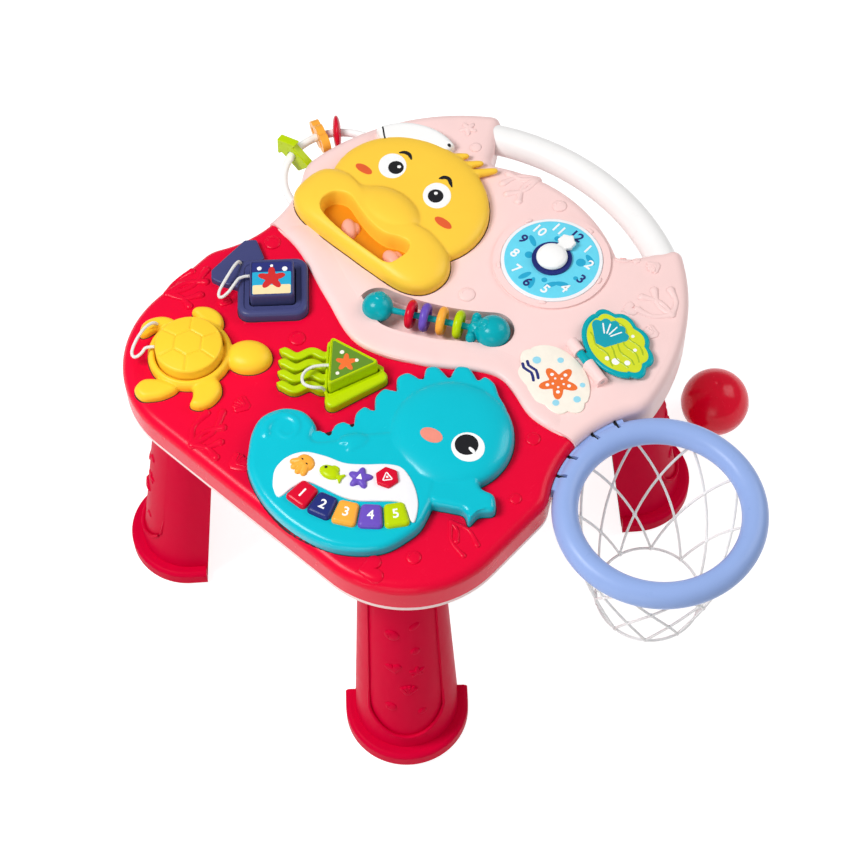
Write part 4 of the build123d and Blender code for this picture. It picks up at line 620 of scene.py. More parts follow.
class Surface:
    """The outside of some pieces, met by rays."""

    def __init__(self, *names):
        verts, faces = [], []
        for name in names:
            mesh = bpy.data.objects[name].data
            start = len(verts)
            verts += [v.co.copy() for v in mesh.vertices]
            faces += [[start + i for i in p.vertices] for p in mesh.polygons]
        self.tree = BVHTree.FromPolygons(verts, faces)

    def draped(self, x, y, h):
        start = spot(x, y, RAY_HIGH)
        hit = self.tree.ray_cast(start, Vector((0, 0, -1)))[0]
        if hit is None:
            hit = self.tree.find_nearest(spot(x, y, RED))[0]
        return (x, y, hit.z / MM + h)

    def wall(self, x, y, degrees):
        """A seat on an upright wall: across and height, seen from outside."""
        out = Vector((math.cos(math.radians(degrees)), math.sin(math.radians(degrees)), 0))
        across = Vector((-out.y, out.x, 0))

        def seat(u, v, h):
            start = spot(x, y, v) + across * u * MM + out * RAY_OUT
            hit = self.tree.ray_cast(start, -out)[0]
            if hit is None:
                hit = self.tree.find_nearest(start - out * WALL_IN)[0]
            p = (hit + out * h * MM - SHIFT) / MM
            return (p.x, p.y, p.z)
        return seat


def laid_in_scene(name, form):
    """A finished form as an object of the scene."""
    bmesh.ops.recalc_face_normals(form, faces=form.faces)
    mesh = bpy.data.meshes.new(name)
    form.to_mesh(mesh)
    form.free()
    obj = bpy.data.objects.new(name, mesh)
    bpy.context.scene.collection.objects.link(obj)
    return obj


class Mould:
    """Closed lumps that become one piece."""

    def __init__(self, seat=None):
        self.form = bmesh.new()
        self.seat = seat

    def skin(self, rings):
        rows = [[self.form.verts.new(spot(*p)) for p in ring] for ring in rings]
        count = len(rows[0])
        for low, high in zip(rows, rows[1:]):
            for i in range(count):
                j = (i + 1) % count
                self.form.faces.new((low[i], low[j], high[j], high[i]))
        self.form.faces.new(rows[0][::-1])
        self.form.faces.new(rows[-1])

    def pillow(self, outline, rise, power=2.4, sunk=1.0, steps=7):
        """A dome over an outline."""
        mx, my = middle(outline)
        rings = [[self.seat(x, y, -sunk) for x, y in outline]]
        for scale, lift in crown(power, steps):
            ring = [(mx + (x - mx) * scale, my + (y - my) * scale) for x, y in outline]
            rings.append([self.seat(x, y, rise * lift) for x, y in ring])
        self.skin(rings)

    def pebble(self, outline, rise, rounding, sunk=1.0, steps=4):
        """A flat-topped lump with a rounded edge."""
        rings = [[self.seat(x, y, -sunk) for x, y in outline]]
        for k in range(steps + 1):
            a = math.pi / 2 * k / steps
            ring = inset(outline, rounding * (1 - math.cos(a)))
            lift = rise - rounding * (1 - math.sin(a))
            rings.append([self.seat(x, y, lift) for x, y in ring])
        self.skin(rings)

    def film(self, outline, rise):
        """A printed patch that follows what it lies on."""
        self.pillow(outline, rise, 14, 0.3, 5)

    def tube(self, path, radii, flat=1.0, sides=14):
        """A round or flattened tube along points, with rounded ends."""
        line = [Vector(p) for p in path]
        if not isinstance(radii, (list, tuple)):
            radii = [radii] * len(line)
        rings = []
        last = len(line) - 1
        for k, p in enumerate(line):
            along = heading(line, k)
            up = Vector((0, 0, 1)) if abs(along.z) < 0.9 else Vector((1, 0, 0))
            side = along.cross(up).normalized()
            rise = side.cross(along)
            ends = [(0, 1)]
            caps = [(math.sin(a), math.cos(a)) for a in (1.4, 1.1, 0.75, 0.4)]
            if k == 0:
                ends = [(-s, c) for s, c in caps] + ends
            if k == last:
                ends = ends + caps[::-1]
            for push, share in ends:
                hub = p + along * push * radii[k]
                r = radii[k] * share
                ring = []
                for step in range(sides):
                    a = math.tau * step / sides
                    ring.append(tuple(hub + side * r * math.cos(a) + rise * r * flat * math.sin(a)))
                rings.append(ring)
        self.skin(rings)

    def rib(self, path, radii, flat, lift=0.0, sides=10):
        """A bead laid along a line on the seat."""
        self.tube([self.seat(x, y, lift) for x, y in path], radii, flat, sides)

    def lathe(self, x, y, profile, sides=96):
        """A turned form on an upright axis: profile of (radius, height)."""
        rings = []
        for r, z in profile:
            ring = [math.tau * k / sides for k in range(sides)]
            rings.append([(x + max(r, 0.05) * math.cos(a), y + max(r, 0.05) * math.sin(a), z) for a in ring])
        self.skin(rings)

    def ball(self, x, y, z, radius, squash=1.0, sides=32):
        angles = [math.pi * (k / 14 - 0.5) for k in range(15)]
        profile = [(radius * math.cos(a), z + radius * squash * math.sin(a)) for a in angles]
        self.lathe(x, y, profile, sides)

    def glyph(self, text, size, x, y, z, degrees=0, thick=0.4, bold=0.0):
        """Raised figures."""
        curve = bpy.data.curves.new("figure", "FONT")
        curve.body = text
        curve.size = size * MM
        curve.align_x = "CENTER"
        curve.align_y = "CENTER"
        curve.extrude = thick / 2 * MM
        curve.offset = bold * MM
        guide = bpy.data.objects.new("figure", curve)
        mesh = bpy.data.meshes.new_from_object(guide)
        turn = Matrix.Rotation(math.radians(degrees), 4, "Z")
        mesh.transform(Matrix.Translation(spot(x, y, z)) @ turn)
        self.form.from_mesh(mesh)
        bpy.data.meshes.remove(mesh)
        bpy.data.objects.remove(guide)
        bpy.data.curves.remove(curve)

    def piece(self, name, finish, body=TABLE, replaced=(), voxel=0, relax=0, carve=None):
        obj = laid_in_scene(name, self.form)
        if voxel:
            grow(obj, voxel, relax)
        if carve:
            cut(obj, carve, voxel, relax)
        obj.data.shade_smooth()
        if not voxel:
            obj.data.set_sharp_from_angle(angle=SHARP_EDGE)
        obj.data.materials.clear()
        obj.data.materials.append(finish.material)
        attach(obj, body)
        if replaced:
            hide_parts(*replaced)
        return obj


def settle(obj):
    """Makes the modifiers' result the mesh itself."""
    graph = bpy.context.evaluated_depsgraph_get()
    shape = bpy.data.meshes.new_from_object(obj.evaluated_get(graph))
    old = obj.data
    obj.modifiers.clear()
    obj.data = shape
    bpy.data.meshes.remove(old)


def grow(obj, voxel, relax):
    """Joins the lumps into one skin and softens where they meet."""
    skin = obj.modifiers.new("skin", "REMESH")
    skin.mode = "VOXEL"
    skin.voxel_size = voxel * MM
    soft = obj.modifiers.new("soft", "SMOOTH")
    soft.factor = 0.5
    soft.iterations = relax
    settle(obj)


def cut(obj, tool, voxel, relax):
    """Takes a form out of a piece."""
    blade = laid_in_scene("cutter", tool.form)
    hollow = obj.modifiers.new("hollow", "BOOLEAN")
    hollow.operation = "DIFFERENCE"
    hollow.object = blade
    settle(obj)
    bpy.data.objects.remove(blade)
    if voxel:
        grow(obj, voxel, relax)


def stamp(name, finish, seat, patches, body=TABLE):
    """One printed piece made of flat patches, each an outline and its rise."""
    mould = Mould(seat)
    for outline, rise in patches:
        mould.film(outline, rise)
    mould.piece(name, finish, body)


SEAM_SHADE_WIDE = 0.65
SEAM_SHADE_RISE = 0.12


def seam_line(name, surface, outlines):
    """Painted shadow: a dark ring round the foot of a set-in piece, for the shade in the joint where it
    meets what it sits on.
    """
    wider = [(inset(outline, -SEAM_SHADE_WIDE), SEAM_SHADE_RISE) for outline in outlines]
    stamp(name, seam_shade, surface.draped, wider)


# Tethers: each from its hole in the deck or base to its block

TETHER_RADIUS = 1.3
SQUARE_CORD = [
    (-149, -36, 1), (-149.2, -36.3, 11), (-146, -46, 16), (-142, -60, 15), (-139.5, -72, 11),
    (-134.5, -75, 10), (-132.5, -67, 12), (-134.5, -57, 13.5), (-136.1, -49.1, 13), (-130.7, -43.9, 13),
]
TURTLE_CORD = [
    (-156, -124, 1), (-156.2, -124.3, 11), (-157, -135, 16), (-154, -149, 15), (-149.5, -160, 12),
    (-144, -161.5, 11), (-142.5, -154, 12), (-144.5, -148.5, 13), (-138.8, -143.7, 13),
]
TRIANGLE_CORD = [
    (-11, -81, 1), (-11.1, -81.3, 11.5), (-16, -90, 16), (-25, -92.5, 15), (-32, -86, 14),
    (-32.5, -77, 13.5), (-27.2, -68.7, 13), (-21.4, -63.9, 13),
]


def tether(name, node, points):
    curve = bpy.data.curves.new(name, "CURVE")
    curve.dimensions = "3D"
    curve.resolution_u = 8
    spline = curve.splines.new("NURBS")
    spline.points.add(len(points) - 1)
    for point, (x, y, height) in zip(spline.points, points):
        point.co = (*spot(x, y, RED + height), 1)
    spline.order_u = 3
    spline.use_endpoint_u = True
    guide = bpy.data.objects.new(name, curve)
    line = bpy.data.meshes.new_from_object(guide)
    path = [v.co.copy() for v in line.vertices]
    bpy.data.objects.remove(guide)
    bpy.data.curves.remove(curve)
    bpy.data.meshes.remove(line)
    piece = braid_tube(name, path, TETHER_RADIUS * MM, tether_white)
    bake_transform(piece)
    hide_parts(node)


def braid_tube(name, path, radius, finish, sides=12):
    """A tube in metres whose chart runs along its length and round its girth."""
    form = bmesh.new()
    chart = form.loops.layers.uv.new("UVMap")
    last = len(path) - 1
    rows, runs = [], [0]
    for a, b in zip(path, path[1:]):
        runs.append(runs[-1] + (b - a).length)
    side = None
    for k, p in enumerate(path):
        along = heading(path, k)
        if side is None:
            side = along.orthogonal().normalized()
        side = (side - along * side.dot(along)).normalized()
        rise = along.cross(side)
        angles = [math.tau * s / sides for s in range(sides)]
        rows.append([form.verts.new(p + (side * math.cos(a) + rise * math.sin(a)) * radius) for a in angles])
    for k in range(last):
        for i in range(sides):
            j = (i + 1) % sides
            face = form.faces.new((rows[k][i], rows[k][j], rows[k + 1][j], rows[k + 1][i]))
            face.smooth = True
            marks = [(runs[k], i), (runs[k], i + 1), (runs[k + 1], i + 1), (runs[k + 1], i)]
            for loop, (run, step) in zip(face.loops, marks):
                loop[chart].uv = (run, step / sides)
    form.faces.new(rows[0][::-1])
    form.faces.new(rows[-1])
    obj = laid_in_scene(name, form)
    obj.data.materials.append(finish.material)
    return obj


tether("square_tether", "square_cord", SQUARE_CORD)
tether("turtle_tether", "turtle_cord", TURTLE_CORD)
tether("triangle_tether", "triangle_cord", TRIANGLE_CORD)


# Deck reliefs

red_top = Surface("red_deck")
pink_top = Surface("pink_deck")


def coral(mould, root, tips, radius):
    """A branching sea plant moulded into the deck, with round knobs at its tips."""
    rx, ry = root
    for k, (tx, ty) in enumerate(tips):
        bend = 0.16 * (1 if k % 2 else -1)
        mx = (rx + tx) / 2 + (ty - ry) * bend
        my = (ry + ty) / 2 - (tx - rx) * bend
        path = curve_through([root, (mx, my), (tx, ty)], 7, closed=False)
        last = len(path) - 1
        radii = [radius * (1.1 - 0.4 * math.sin(math.pi * s / last)) for s in range(last + 1)]
        mould.rib(path, radii, 0.7, lift=-0.3)


def bubble(mould, x, y, radius):
    """A low dome with a crescent on it."""
    mould.pillow(circle(x, y, radius, 32), 0.2 * radius + 0.5, 2.6, 0.6, 6)
    arc = [polar(x, y, radius * 0.55, a) for a in range(110, 216, 15)]
    mould.rib(arc, radius * 0.1, 0.8, lift=0.17 * radius + 0.4)


def scallop(mould, x, y, radius, degrees):
    """A low shell with ribs."""
    mould.pillow(fan(x, y, radius, degrees), 1.7, 3, 0.6, 6)
    for turn in (-45, -22, 0, 22, 45):
        inner = polar(x, y, radius * 0.1, degrees + turn)
        outer = polar(x, y, radius * 0.86, degrees + turn)
        mould.rib([inner, outer], 0.07 * radius, 0.8, lift=1.5)


def reliefs(name, finish, seat, corals=(), bubbles=(), scallops=(), domes=(), ribs=()):
    """Raised sea shapes on a shell, as one piece."""
    marks = Mould(seat)
    for root, tips, radius in corals:
        coral(marks, root, tips, radius)
    for mark in bubbles:
        bubble(marks, *mark)
    for mark in scallops:
        scallop(marks, *mark)
    for outline, rise, power in domes:
        marks.pillow(outline, rise, power, 0.6)
    for line, radius in ribs:
        marks.rib(line, radius, 0.8, lift=0.3)
    marks.piece(name, finish)


reliefs(
    "red_deck_reliefs", red, red_top.draped,
    corals=[
        ((-176, -95), [(-177, -66), (-169, -57), (-161, -66), (-155, -78), (-154, -92)], 3.4),
        ((-58, -184), [(-70, -156), (-61, -147), (-51, -157), (-43, -168), (-36, -180)], 3.4),
        ((140, -102), [(154, -112), (166, -118), (168, -104)], 2.4),
    ],
    bubbles=[(-148, -1, 7), (-66, -57, 7), (139, -144, 6), (163, -54, 5), (138, -4, 6)],
    scallops=[(-136, -72, 8, 100), (-52, -131, 10, 200), (-20, -175, 11, 70)],
    domes=[(heart(122, -173, 12, -40), 1.8, 2.6)],
)
reliefs(
    "pink_deck_reliefs", pink, pink_top.draped,
    corals=[
        ((-26, 194), [(-47, 181), (-44, 170), (-34, 164), (-22, 164)], 3.2),
        ((146, 158), [(122, 144), (117, 156), (120, 168), (130, 177)], 3.2),
    ],
    bubbles=[(7, 183, 6), (9, 64, 7), (-87, 184, 5), (90, 182, 3.5)],
    scallops=[(106, 188, 8, 250), (147, 134, 9, 200)],
    domes=[
        (star(-105, 195, 8, 20), 1.8, 2.4),
        (ellipse(81, 176, 7, 3.6, 35), 1.5, 2.4),
        (heart(117, 140, 7, -30), 1.5, 2.6),
    ],
)

# The pink shell's thick rounded lip along the parting wave
PARTING = [
    (-200, 14), (-163, 13), (-125, 8), (-75, -12), (-25, -28),
    (25, -10), (78, 22), (125, 11), (163, 15), (200, 15),
]
LIP_END = 156
LIP_FADE = 16
LIP_DROP = 4
LIP_PROFILE = [
    (5, -4), (-1, -4), (-1.5, -2), (-1.2, -0.4), (-0.2, 0.9), (1.6, 1.7), (4, 2),
    (7, 1.8), (11, 1.2), (16, 0.5), (21, 0.05), (25, -0.4),
]


def parting_lip():
    lip = Mould()
    wave = curve_through(PARTING, 12, closed=False)
    rows = []
    for k in range(1, len(wave) - 1):
        ax, ay = wave[k - 1]
        bx, by = wave[k + 1]
        x, y = wave[k]
        run = math.hypot(bx - ax, by - ay)
        fade = min(1, (LIP_END - abs(x)) / LIP_FADE)
        if fade > 0:
            u, v = -(by - ay) / run, (bx - ax) / run
            base = PINK - LIP_DROP * (1 - fade)
            rows.append([(x + u * s, y + v * s, base + h) for s, h in LIP_PROFILE])
    lip.skin(rows)
    lip.piece("parting_lip", pink)


parting_lip()

# Legs: a frame line round the arched panel, and small reliefs on it
LEGS = {
    "leg_front_right": (131, -151, -46),
    "leg_front_left": (-131, -151, 226),
    "leg_back_left": (-131, 151, 134),
    "leg_back_right": (131, 151, 46),
}
leg_arch = [(-26.8, 200), (-28.6, 130), (-30.4, 80)]
leg_arch += [polar(0, 62, 31.5, a) for a in range(190, 351, 10)]
leg_arch += [(30.4, 80), (28.6, 130), (26.8, 200)]
# Painted shade: the leg reliefs take the legs' darker red.
for leg, place in LEGS.items():
    reliefs(
        leg + "_reliefs", red_leg_shaded, Surface(leg).wall(*place),
        bubbles=[(-9, 168, 6), (9, 146, 4), (-13, 70, 5), (13, 62, 3.6)],
        scallops=[(2, 92, 9, 80)],
        domes=[
            (heart(-9, 124, 7, 12), 1.5, 2.6),
            (star(10, 118, 7, 18), 1.5, 2.4),
            (ellipse(9, 178, 5, 3, 40), 1.4, 2.4),
        ],
        ribs=[(leg_arch, 1.5)],
    )


# Duck

HEAD = (-90, 103)
BILL = (-90, 57.5)
MOUTH = [
    (-138, 50), (-137, 58.5), (-132, 64), (-122, 66.5), (-106.5, 61.5), (-89, 57), (-74, 56.7), (-64, 61),
    (-54, 63), (-48.8, 56.7), (-49.4, 47), (-54, 37.6), (-73.5, 36.3), (-92, 36.5), (-111, 37.5),
    (-126.5, 40), (-134, 43.5),
]
TUFTS = [
    [(-98, 148), (-92, 159), (-84, 169)],
    [(-84, 148), (-78, 160), (-69.5, 171)],
    [(-74, 148), (-65, 160.5), (-55.5, 173)],
]
BROWS = [
    [(-124.5, 129), (-121.5, 132.5), (-116.5, 133.3), (-111.3, 130.3)],
    [(-80.7, 130.3), (-78.5, 134.5), (-73.5, 135.6), (-66.5, 130.8)],
]
EYES = [(-119, 115), (-70, 116)]
PUPILS = [(-115.4, 115.4), (-70.4, 114.8)]
GLINTS = [(-113.8, 117.6), (-72, 117)]
CHEEKS = [(-135, 97), (-47.5, 98.5)]
EYE_TURN = 133
duck_top = top_of("duck_face")


def duck():
    face = Mould(level(PINK))
    face.pillow(ellipse(*HEAD, 72, 61), 13.5, 4.2, 1, 12)
    beak = [
        (-78, 2), (-74, 20), (-58, 29), (-40, 28), (-26, 37), (-10, 43), (10, 43), (24, 36),
        (32, 28), (48, 29), (68, 21), (78, 4), (74, -16), (56, -27), (24, -29), (0, -29),
        (-24, -29), (-56, -27), (-74, -16),
    ]
    beak = anticlockwise(curve_through([(BILL[0] + x, BILL[1] + y) for x, y in beak], 5))
    face.pillow(beak, duck_top - PINK, 3.6, 1, 12)
    face.pillow(ellipse(BILL[0], BILL[1] + 21, 35, 23), duck_top - PINK + 2.4, 2.8, 1, 12)
    for lock in TUFTS:
        line = curve_through(lock, 6, closed=False)
        radii = [5.2 - 2.6 * (k / (len(line) - 1)) ** 1.2 for k in range(len(line))]
        face.rib(line, radii, 1.1, lift=4.5)
    gap = Mould()
    jaw = anticlockwise(curve_through(MOUTH, 4))
    shelf = top_of("duck_tongue") - 5
    gap.skin([
        [(x, y, shelf) for x, y in inset(jaw, 1.6)],
        [(x, y, duck_top - 3.5) for x, y in jaw],
        [(x, y, duck_top + 9) for x, y in inset(jaw, -3)],
    ])
    face.piece("duck_head", yellow, replaced=["duck_face"], voxel=0.8, relax=6, carve=gap)
    # Painted shade: the mouth's floor in the darker orange.
    floor = Mould(level(shelf - 0.2))
    floor.pebble(inset(jaw, -2), 1.2, 0.3, 0.8)
    floor.piece("duck_throat", throat_shaded)
    lobes = Mould(level(shelf))
    for x, y, turn in [(-107, 48.5, -38), (-59, 49, -10)]:
        lobes.pillow(ellipse(x, y, 10.5, 6.5, turn), 7.5, 2.4, 0.5, 9)
        lobes.pillow(ellipse(*polar(x, y, 5, turn + 90), 6, 4.5, turn), 5, 2.4, 0.5, 9)
    lobes.piece("duck_tongue_lobes", tongue, replaced=["duck_tongue"], voxel=0.7, relax=4)
    skin = Surface("duck_head").draped
    brows = [anticlockwise(leaf(curve_through(brow, 8, closed=False), 3.6)) for brow in BROWS]
    stamp("duck_eye_whites", eye_white, skin, [(ellipse(*p, 13.4, 11.7, EYE_TURN), 0.25) for p in EYES])
    stamp("duck_pupils", ink_black, skin, [(ellipse(*p, 7, 6.5, EYE_TURN), 0.45) for p in PUPILS])
    stamp("duck_glints", white_ink, skin, [(circle(*p, 1.6, 24), 0.65) for p in GLINTS])
    stamp("duck_cheeks", cheek_ink, skin, [(ellipse(*p, 8.5, 3.8, 2, 36), 0.25) for p in CHEEKS])
    stamp("duck_brows", ink_black, skin, [(brow, 0.25) for brow in brows])
    # Painted shadow round the foot of the head and bill.
    seam_line("duck_seam_shade", pink_top, [ellipse(*HEAD, 72, 61), beak])


duck()


def saddle():
    """The white hump behind the duck's head that the ring comes out of."""
    cap = Mould(level(PINK))
    outer, inner = [], []
    for k in range(25):
        a = math.radians(96 + 53 * k / 24)
        swell = math.sin(math.pi * min(0.86, 0.06 + 0.8 * k / 24)) ** 0.5
        c, s = math.cos(a), math.sin(a)
        outer.append((HEAD[0] + (72 + 16 * swell) * c, HEAD[1] + (61 + 15 * swell) * s))
        inner.append((HEAD[0] + 66 * c, HEAD[1] + 55 * s))
    cap.pebble(outer + inner[::-1], 9.5, 5, 1, 6)
    cap.piece("ring_hump", white, replaced=["ring_saddle"], voxel=0.8, relax=8)
    slit = strip([(-156, 143), (-153, 140.5), (-149.5, 137.5), (-146, 135)], 1.3)
    ground = Surface("ring_hump", "duck_head", "pink_deck").draped
    # Painted shadow: a dark slit and a dark hole on the hump, for the shade in the gaps.
    stamp("hump_slit_shade", slot_shade, ground, [(slit, 0.3), (circle(-100.5, 165.5, 1.5, 20), 0.3)])


saddle()


# Clock

def clock():
    x, y = CLOCK
    stamp("dial_film", sky_ink, level(DIAL), [(circle(x, y, 39, 96), 0.2)])
    rounds = [(-17, -9, 3.4), (20, 13, 4), (-10, 19, 2.6), (9, -20, 2.4), (27, -2, 2)]
    leaves = [(-6, -27, 70), (3, -29, 110), (22, -14, 30), (16, -20, 60), (-24, 4, 150), (24, 20, -20)]
    prints = [(circle(x + px, y + py, r, 28), 0.12) for px, py, r in rounds]
    prints += [(ellipse(x + px, y + py, 6, 2.3, turn, 28), 0.12) for px, py, turn in leaves]
    stamp("dial_prints", sea_ink, level(DIAL + 0.2), prints)
    dark, pale = Mould(), Mould()
    for hour in range(1, 13):
        nx, ny = polar(x, y, 31, 90 - 30 * hour)
        group = dark if hour % 3 == 0 else pale
        group.glyph(str(hour), 12, nx, ny, DIAL + 0.4, 0, 0.35, 0.22)
    dark.piece("dial_hours_dark", navy_ink)
    pale.piece("dial_hours_pale", white_ink)
    nibs = Mould(pink_top.draped)
    for turn in (12, 84, 156, 228, 300):
        nx, ny = polar(x, y, 43.6, turn)
        nibs.pillow(ellipse(nx, ny, 3.4, 1.7, turn + 90, 24), 1.6, 2.6, 0.5)
    nibs.piece("dial_nibs", pink)
    base = foot_of("clock_hand")
    hand = Mould(level(base))
    knob = [(0, 0), (12.6, 0), (13, 1.4), (12.2, 3.6), (9.4, 5.6), (5, 6.6), (0, 6.9)]
    hand.lathe(x, y, [(r, base + z) for r, z in knob], 72)
    side = [(3.6, 8), (2.8, 13.5), (7.6, 16), (6.4, 19), (7, 23), (3.2, 23.5)]
    arm = side + [(0, 27.5)] + [(-a, b) for a, b in side[::-1]]
    hand.pebble(rounded([(x + a, y + b) for a, b in arm], 1.0, 3), 4.2, 1.4, 0)
    hand.piece("clock_pointer", white, "clock_hand", ["clock_hand"], voxel=0.5, relax=4)


clock()


# Bead rod

ROD = (6, 28.5)
ROD_TURN = 26.5
ROD_HIGH = (foot_of("bead_red") + top_of("bead_red")) / 2


def on_rod(run, side=0.0):
    return turned([(run, side)], *ROD, ROD_TURN)[0]


def curl_on(run, side, hub, radius):
    """A small raised spiral that lies on a round end of the rod."""
    path = []
    hx, hy = on_rod(hub)
    for k in range(24):
        x, y = polar(*on_rod(run, side), 0.8 + 0.19 * k, 30 * k)
        fall = radius ** 2 - (x - hx) ** 2 - (y - hy) ** 2
        path.append((x, y, ROD_HIGH + 0.94 * math.sqrt(max(0, fall))))
    return path


def bead_rod():
    rod = Mould(level(ROD_HIGH))
    rod.tube([(*on_rod(run), ROD_HIGH) for run in (-44, -20, 10, 44)], 2.7)
    rod.ball(*on_rod(-48), ROD_HIGH, 12.8, 0.95, 40)
    rod.ball(*on_rod(-44, -5), ROD_HIGH + 1, 7.5, 1, 32)
    rod.tube(curl_on(-46.5, 5, -48, 12.8), 1)
    rod.ball(*on_rod(48), ROD_HIGH, 14.4, 0.92, 40)
    rod.tube(curl_on(40.5, -1, 48, 14.4), 1)
    rod.tube([(*on_rod(run), ROD_HIGH) for run in (36, 40)], 7)
    rod.tube([(*on_rod(32.2, side), ROD_HIGH) for side in (-10.5, 10.5)], 3.8)
    for side, swell in [(-10, 4.1), (0, 4.2), (10, 4.1)]:
        rod.ball(*on_rod(32.4, side), ROD_HIGH, swell, 1.5, 24)
    for run in (-48, 48):
        rod.tube([(*on_rod(run), ROD_HIGH - 13), (*on_rod(run), ROD_HIGH - 4)], 6)
    rod.piece("bead_bar", deep_teal, replaced=["bead_rod"], voxel=0.6, relax=3)


bead_rod()


# Flip page and the picture beside it

PAGE = (121.6, 77)
PAGE_TURN = -17.1
PAGE_MIDDLE = (2.7, 29)
PAGE_PIN_HIGH = 275
PAGE_SINK = 0.7
PAGE_BUBBLES = [(14, -10, 3.2), (20, -3, 2.4), (8, -14, 2), (13, 9, 1.6), (-19, -6, 1.8), (1, 15, 1.4)]


def page_spot(points, mirrored=False):
    sign = -1 if mirrored else 1
    drawing = [(a + PAGE_MIDDLE[0], sign * (b + PAGE_MIDDLE[1])) for a, b in points]
    set_down = turned(drawing, *PAGE, PAGE_TURN)
    return set_down[::-1] if mirrored else set_down


def flip_page():
    low, high = foot_of("flip_page") + 1.6, top_of("flip_page") - 1.6
    mid = (low + high) / 2
    page = Mould(level(mid))
    edge = page_spot(page_edge())
    rim = page_spot(page_edge(0.87))
    lip = inset(rim, -0.5)
    half = (high - low) / 2
    levels = [(rim, low + PAGE_SINK), (lip, low)]
    for k in range(9):
        a = math.pi * (k / 8 - 0.5)
        levels.append((inset(edge, half * (1 - math.cos(a))), mid + half * math.sin(a)))
    levels += [(lip, high), (rim, high - PAGE_SINK)]
    page.skin([[(x, y, z) for x, y in line] for line, z in levels])
    stem = [(-6, -31), (6, -31), (5, -22), (-5, -22)]
    page.pebble(rounded(page_spot(stem), 1.5), half, 1, half)
    axle = page_spot([(-8, -29), (0, -29), (8, -29)])
    page.tube([(*p, PAGE_PIN_HIGH) for p in axle], 3.4)
    page.piece("page_leaf", deep_teal, "flip_page", ["flip_page"])
    sides = [("front", high - PAGE_SINK, 1, 100), ("back", low + PAGE_SINK, -1, 45)]
    for face, z, sign, bearing in sides:
        def seat(x, y, h, z=z, sign=sign):
            return (x, y, z + sign * h)
        ground = [(page_spot(page_edge(0.85)), 0.25)]
        stamp("page_ground_" + face, lime_ink, seat, ground, "flip_page")
        lines = Mould(seat)
        for row in range(5):
            wave = [(-24 + 4 * k, -13 + 6.4 * row + 1.6 * math.sin(k * 1.1 + row)) for k in range(13)]
            inside = [p for p in wave if (p[0] / 28) ** 2 + (p[1] / 19) ** 2 < 0.92]
            lines.rib(page_spot(inside), 0.7, 0.4, lift=0.2)
        lines.piece("page_lines_" + face, olive_ink, "flip_page")
        cx, cy = page_spot([(-9 * sign, -5)])[0]
        stamp("page_motif_" + face, teal_ink, seat, [(fan(cx, cy, 19, bearing), 0.5)], "flip_page")
        prints = [(circle(*page_spot([(a * sign, b)])[0], r, 24), 0.4) for a, b, r in PAGE_BUBBLES]
        for turn in (-36, -12, 12, 36):
            spoke = [polar(cx, cy, reach, bearing + turn) for reach in (5, 14.5)]
            prints.append((strip(spoke, 1.2), 0.65))
        stamp("page_bubbles_" + face, white_ink, seat, prints, "flip_page")


def picture_disc():
    low, high = foot_of("picture_disc"), top_of("picture_disc")
    edge = page_spot(page_edge(), True)
    disc = Mould(level(low))
    disc.pebble(edge, high - low, 0.7, 0.5)
    disc.piece("picture_plate", cream_ink, replaced=["picture_disc"])
    cx, cy = page_spot([(5, 0)], True)[0]
    stamp("picture_star", orange_ink, level(high), [(star(cx, cy, 16, 20), 0.2)])
    rounds = [(-22, 3, 3.4), (20, 12, 2.8), (26, -4, 3), (-12, -13, 2.6), (17, -15, 2.2)]
    bubbles = [(circle(*page_spot([(a, b)], True)[0], r, 28), 0.2) for a, b, r in rounds]
    stamp("picture_bubbles", pale_blue_ink, level(high), bubbles)
    waves = Mould(level(high))
    for row in range(2):
        wave = [(-25 + 3.6 * k, 10 + 4.4 * row + 1.3 * math.sin(k * 1.5)) for k in range(6)]
        waves.rib(page_spot(wave, True), 1.2, 0.15, lift=0.05)
    waves.piece("picture_waves", navy_ink)
    dots = []
    for turn in range(20, 380, 72):
        dots.append((circle(*polar(cx, cy, 9, turn), 1.5, 20), 0.35))
        dots.append((circle(*polar(cx, cy, 4.5, turn), 1, 16), 0.35))
    stamp("picture_dots", white_ink, level(high), dots)


flip_page()
picture_disc()


# Turtle

TURTLE = (-118, -126)
TURTLE_TURN = 38
SHELL_RADIUS = 27
SHELL_ROUND = 2.2
FLIPPERS = [
    [(-145.4, -97), (-146, -90.7), (-137, -83.5), (-125.5, -83),
     (-117.5, -89), (-117, -99), (-130, -99), (-139, -98)],
    [(-161.5, -140), (-167, -131), (-164.5, -121), (-157, -113.5),
     (-148, -112), (-148, -121), (-154.5, -128), (-157, -137)],
    [(-126.4, -180), (-128, -169.3), (-120, -161), (-109.6, -156),
     (-101, -157), (-103, -167), (-108, -175), (-116, -182)],
    [(-95, -144), (-90, -133.5), (-82, -129.5), (-73, -136),
     (-71, -148.3), (-75.5, -158), (-83, -161), (-87, -154)],
]


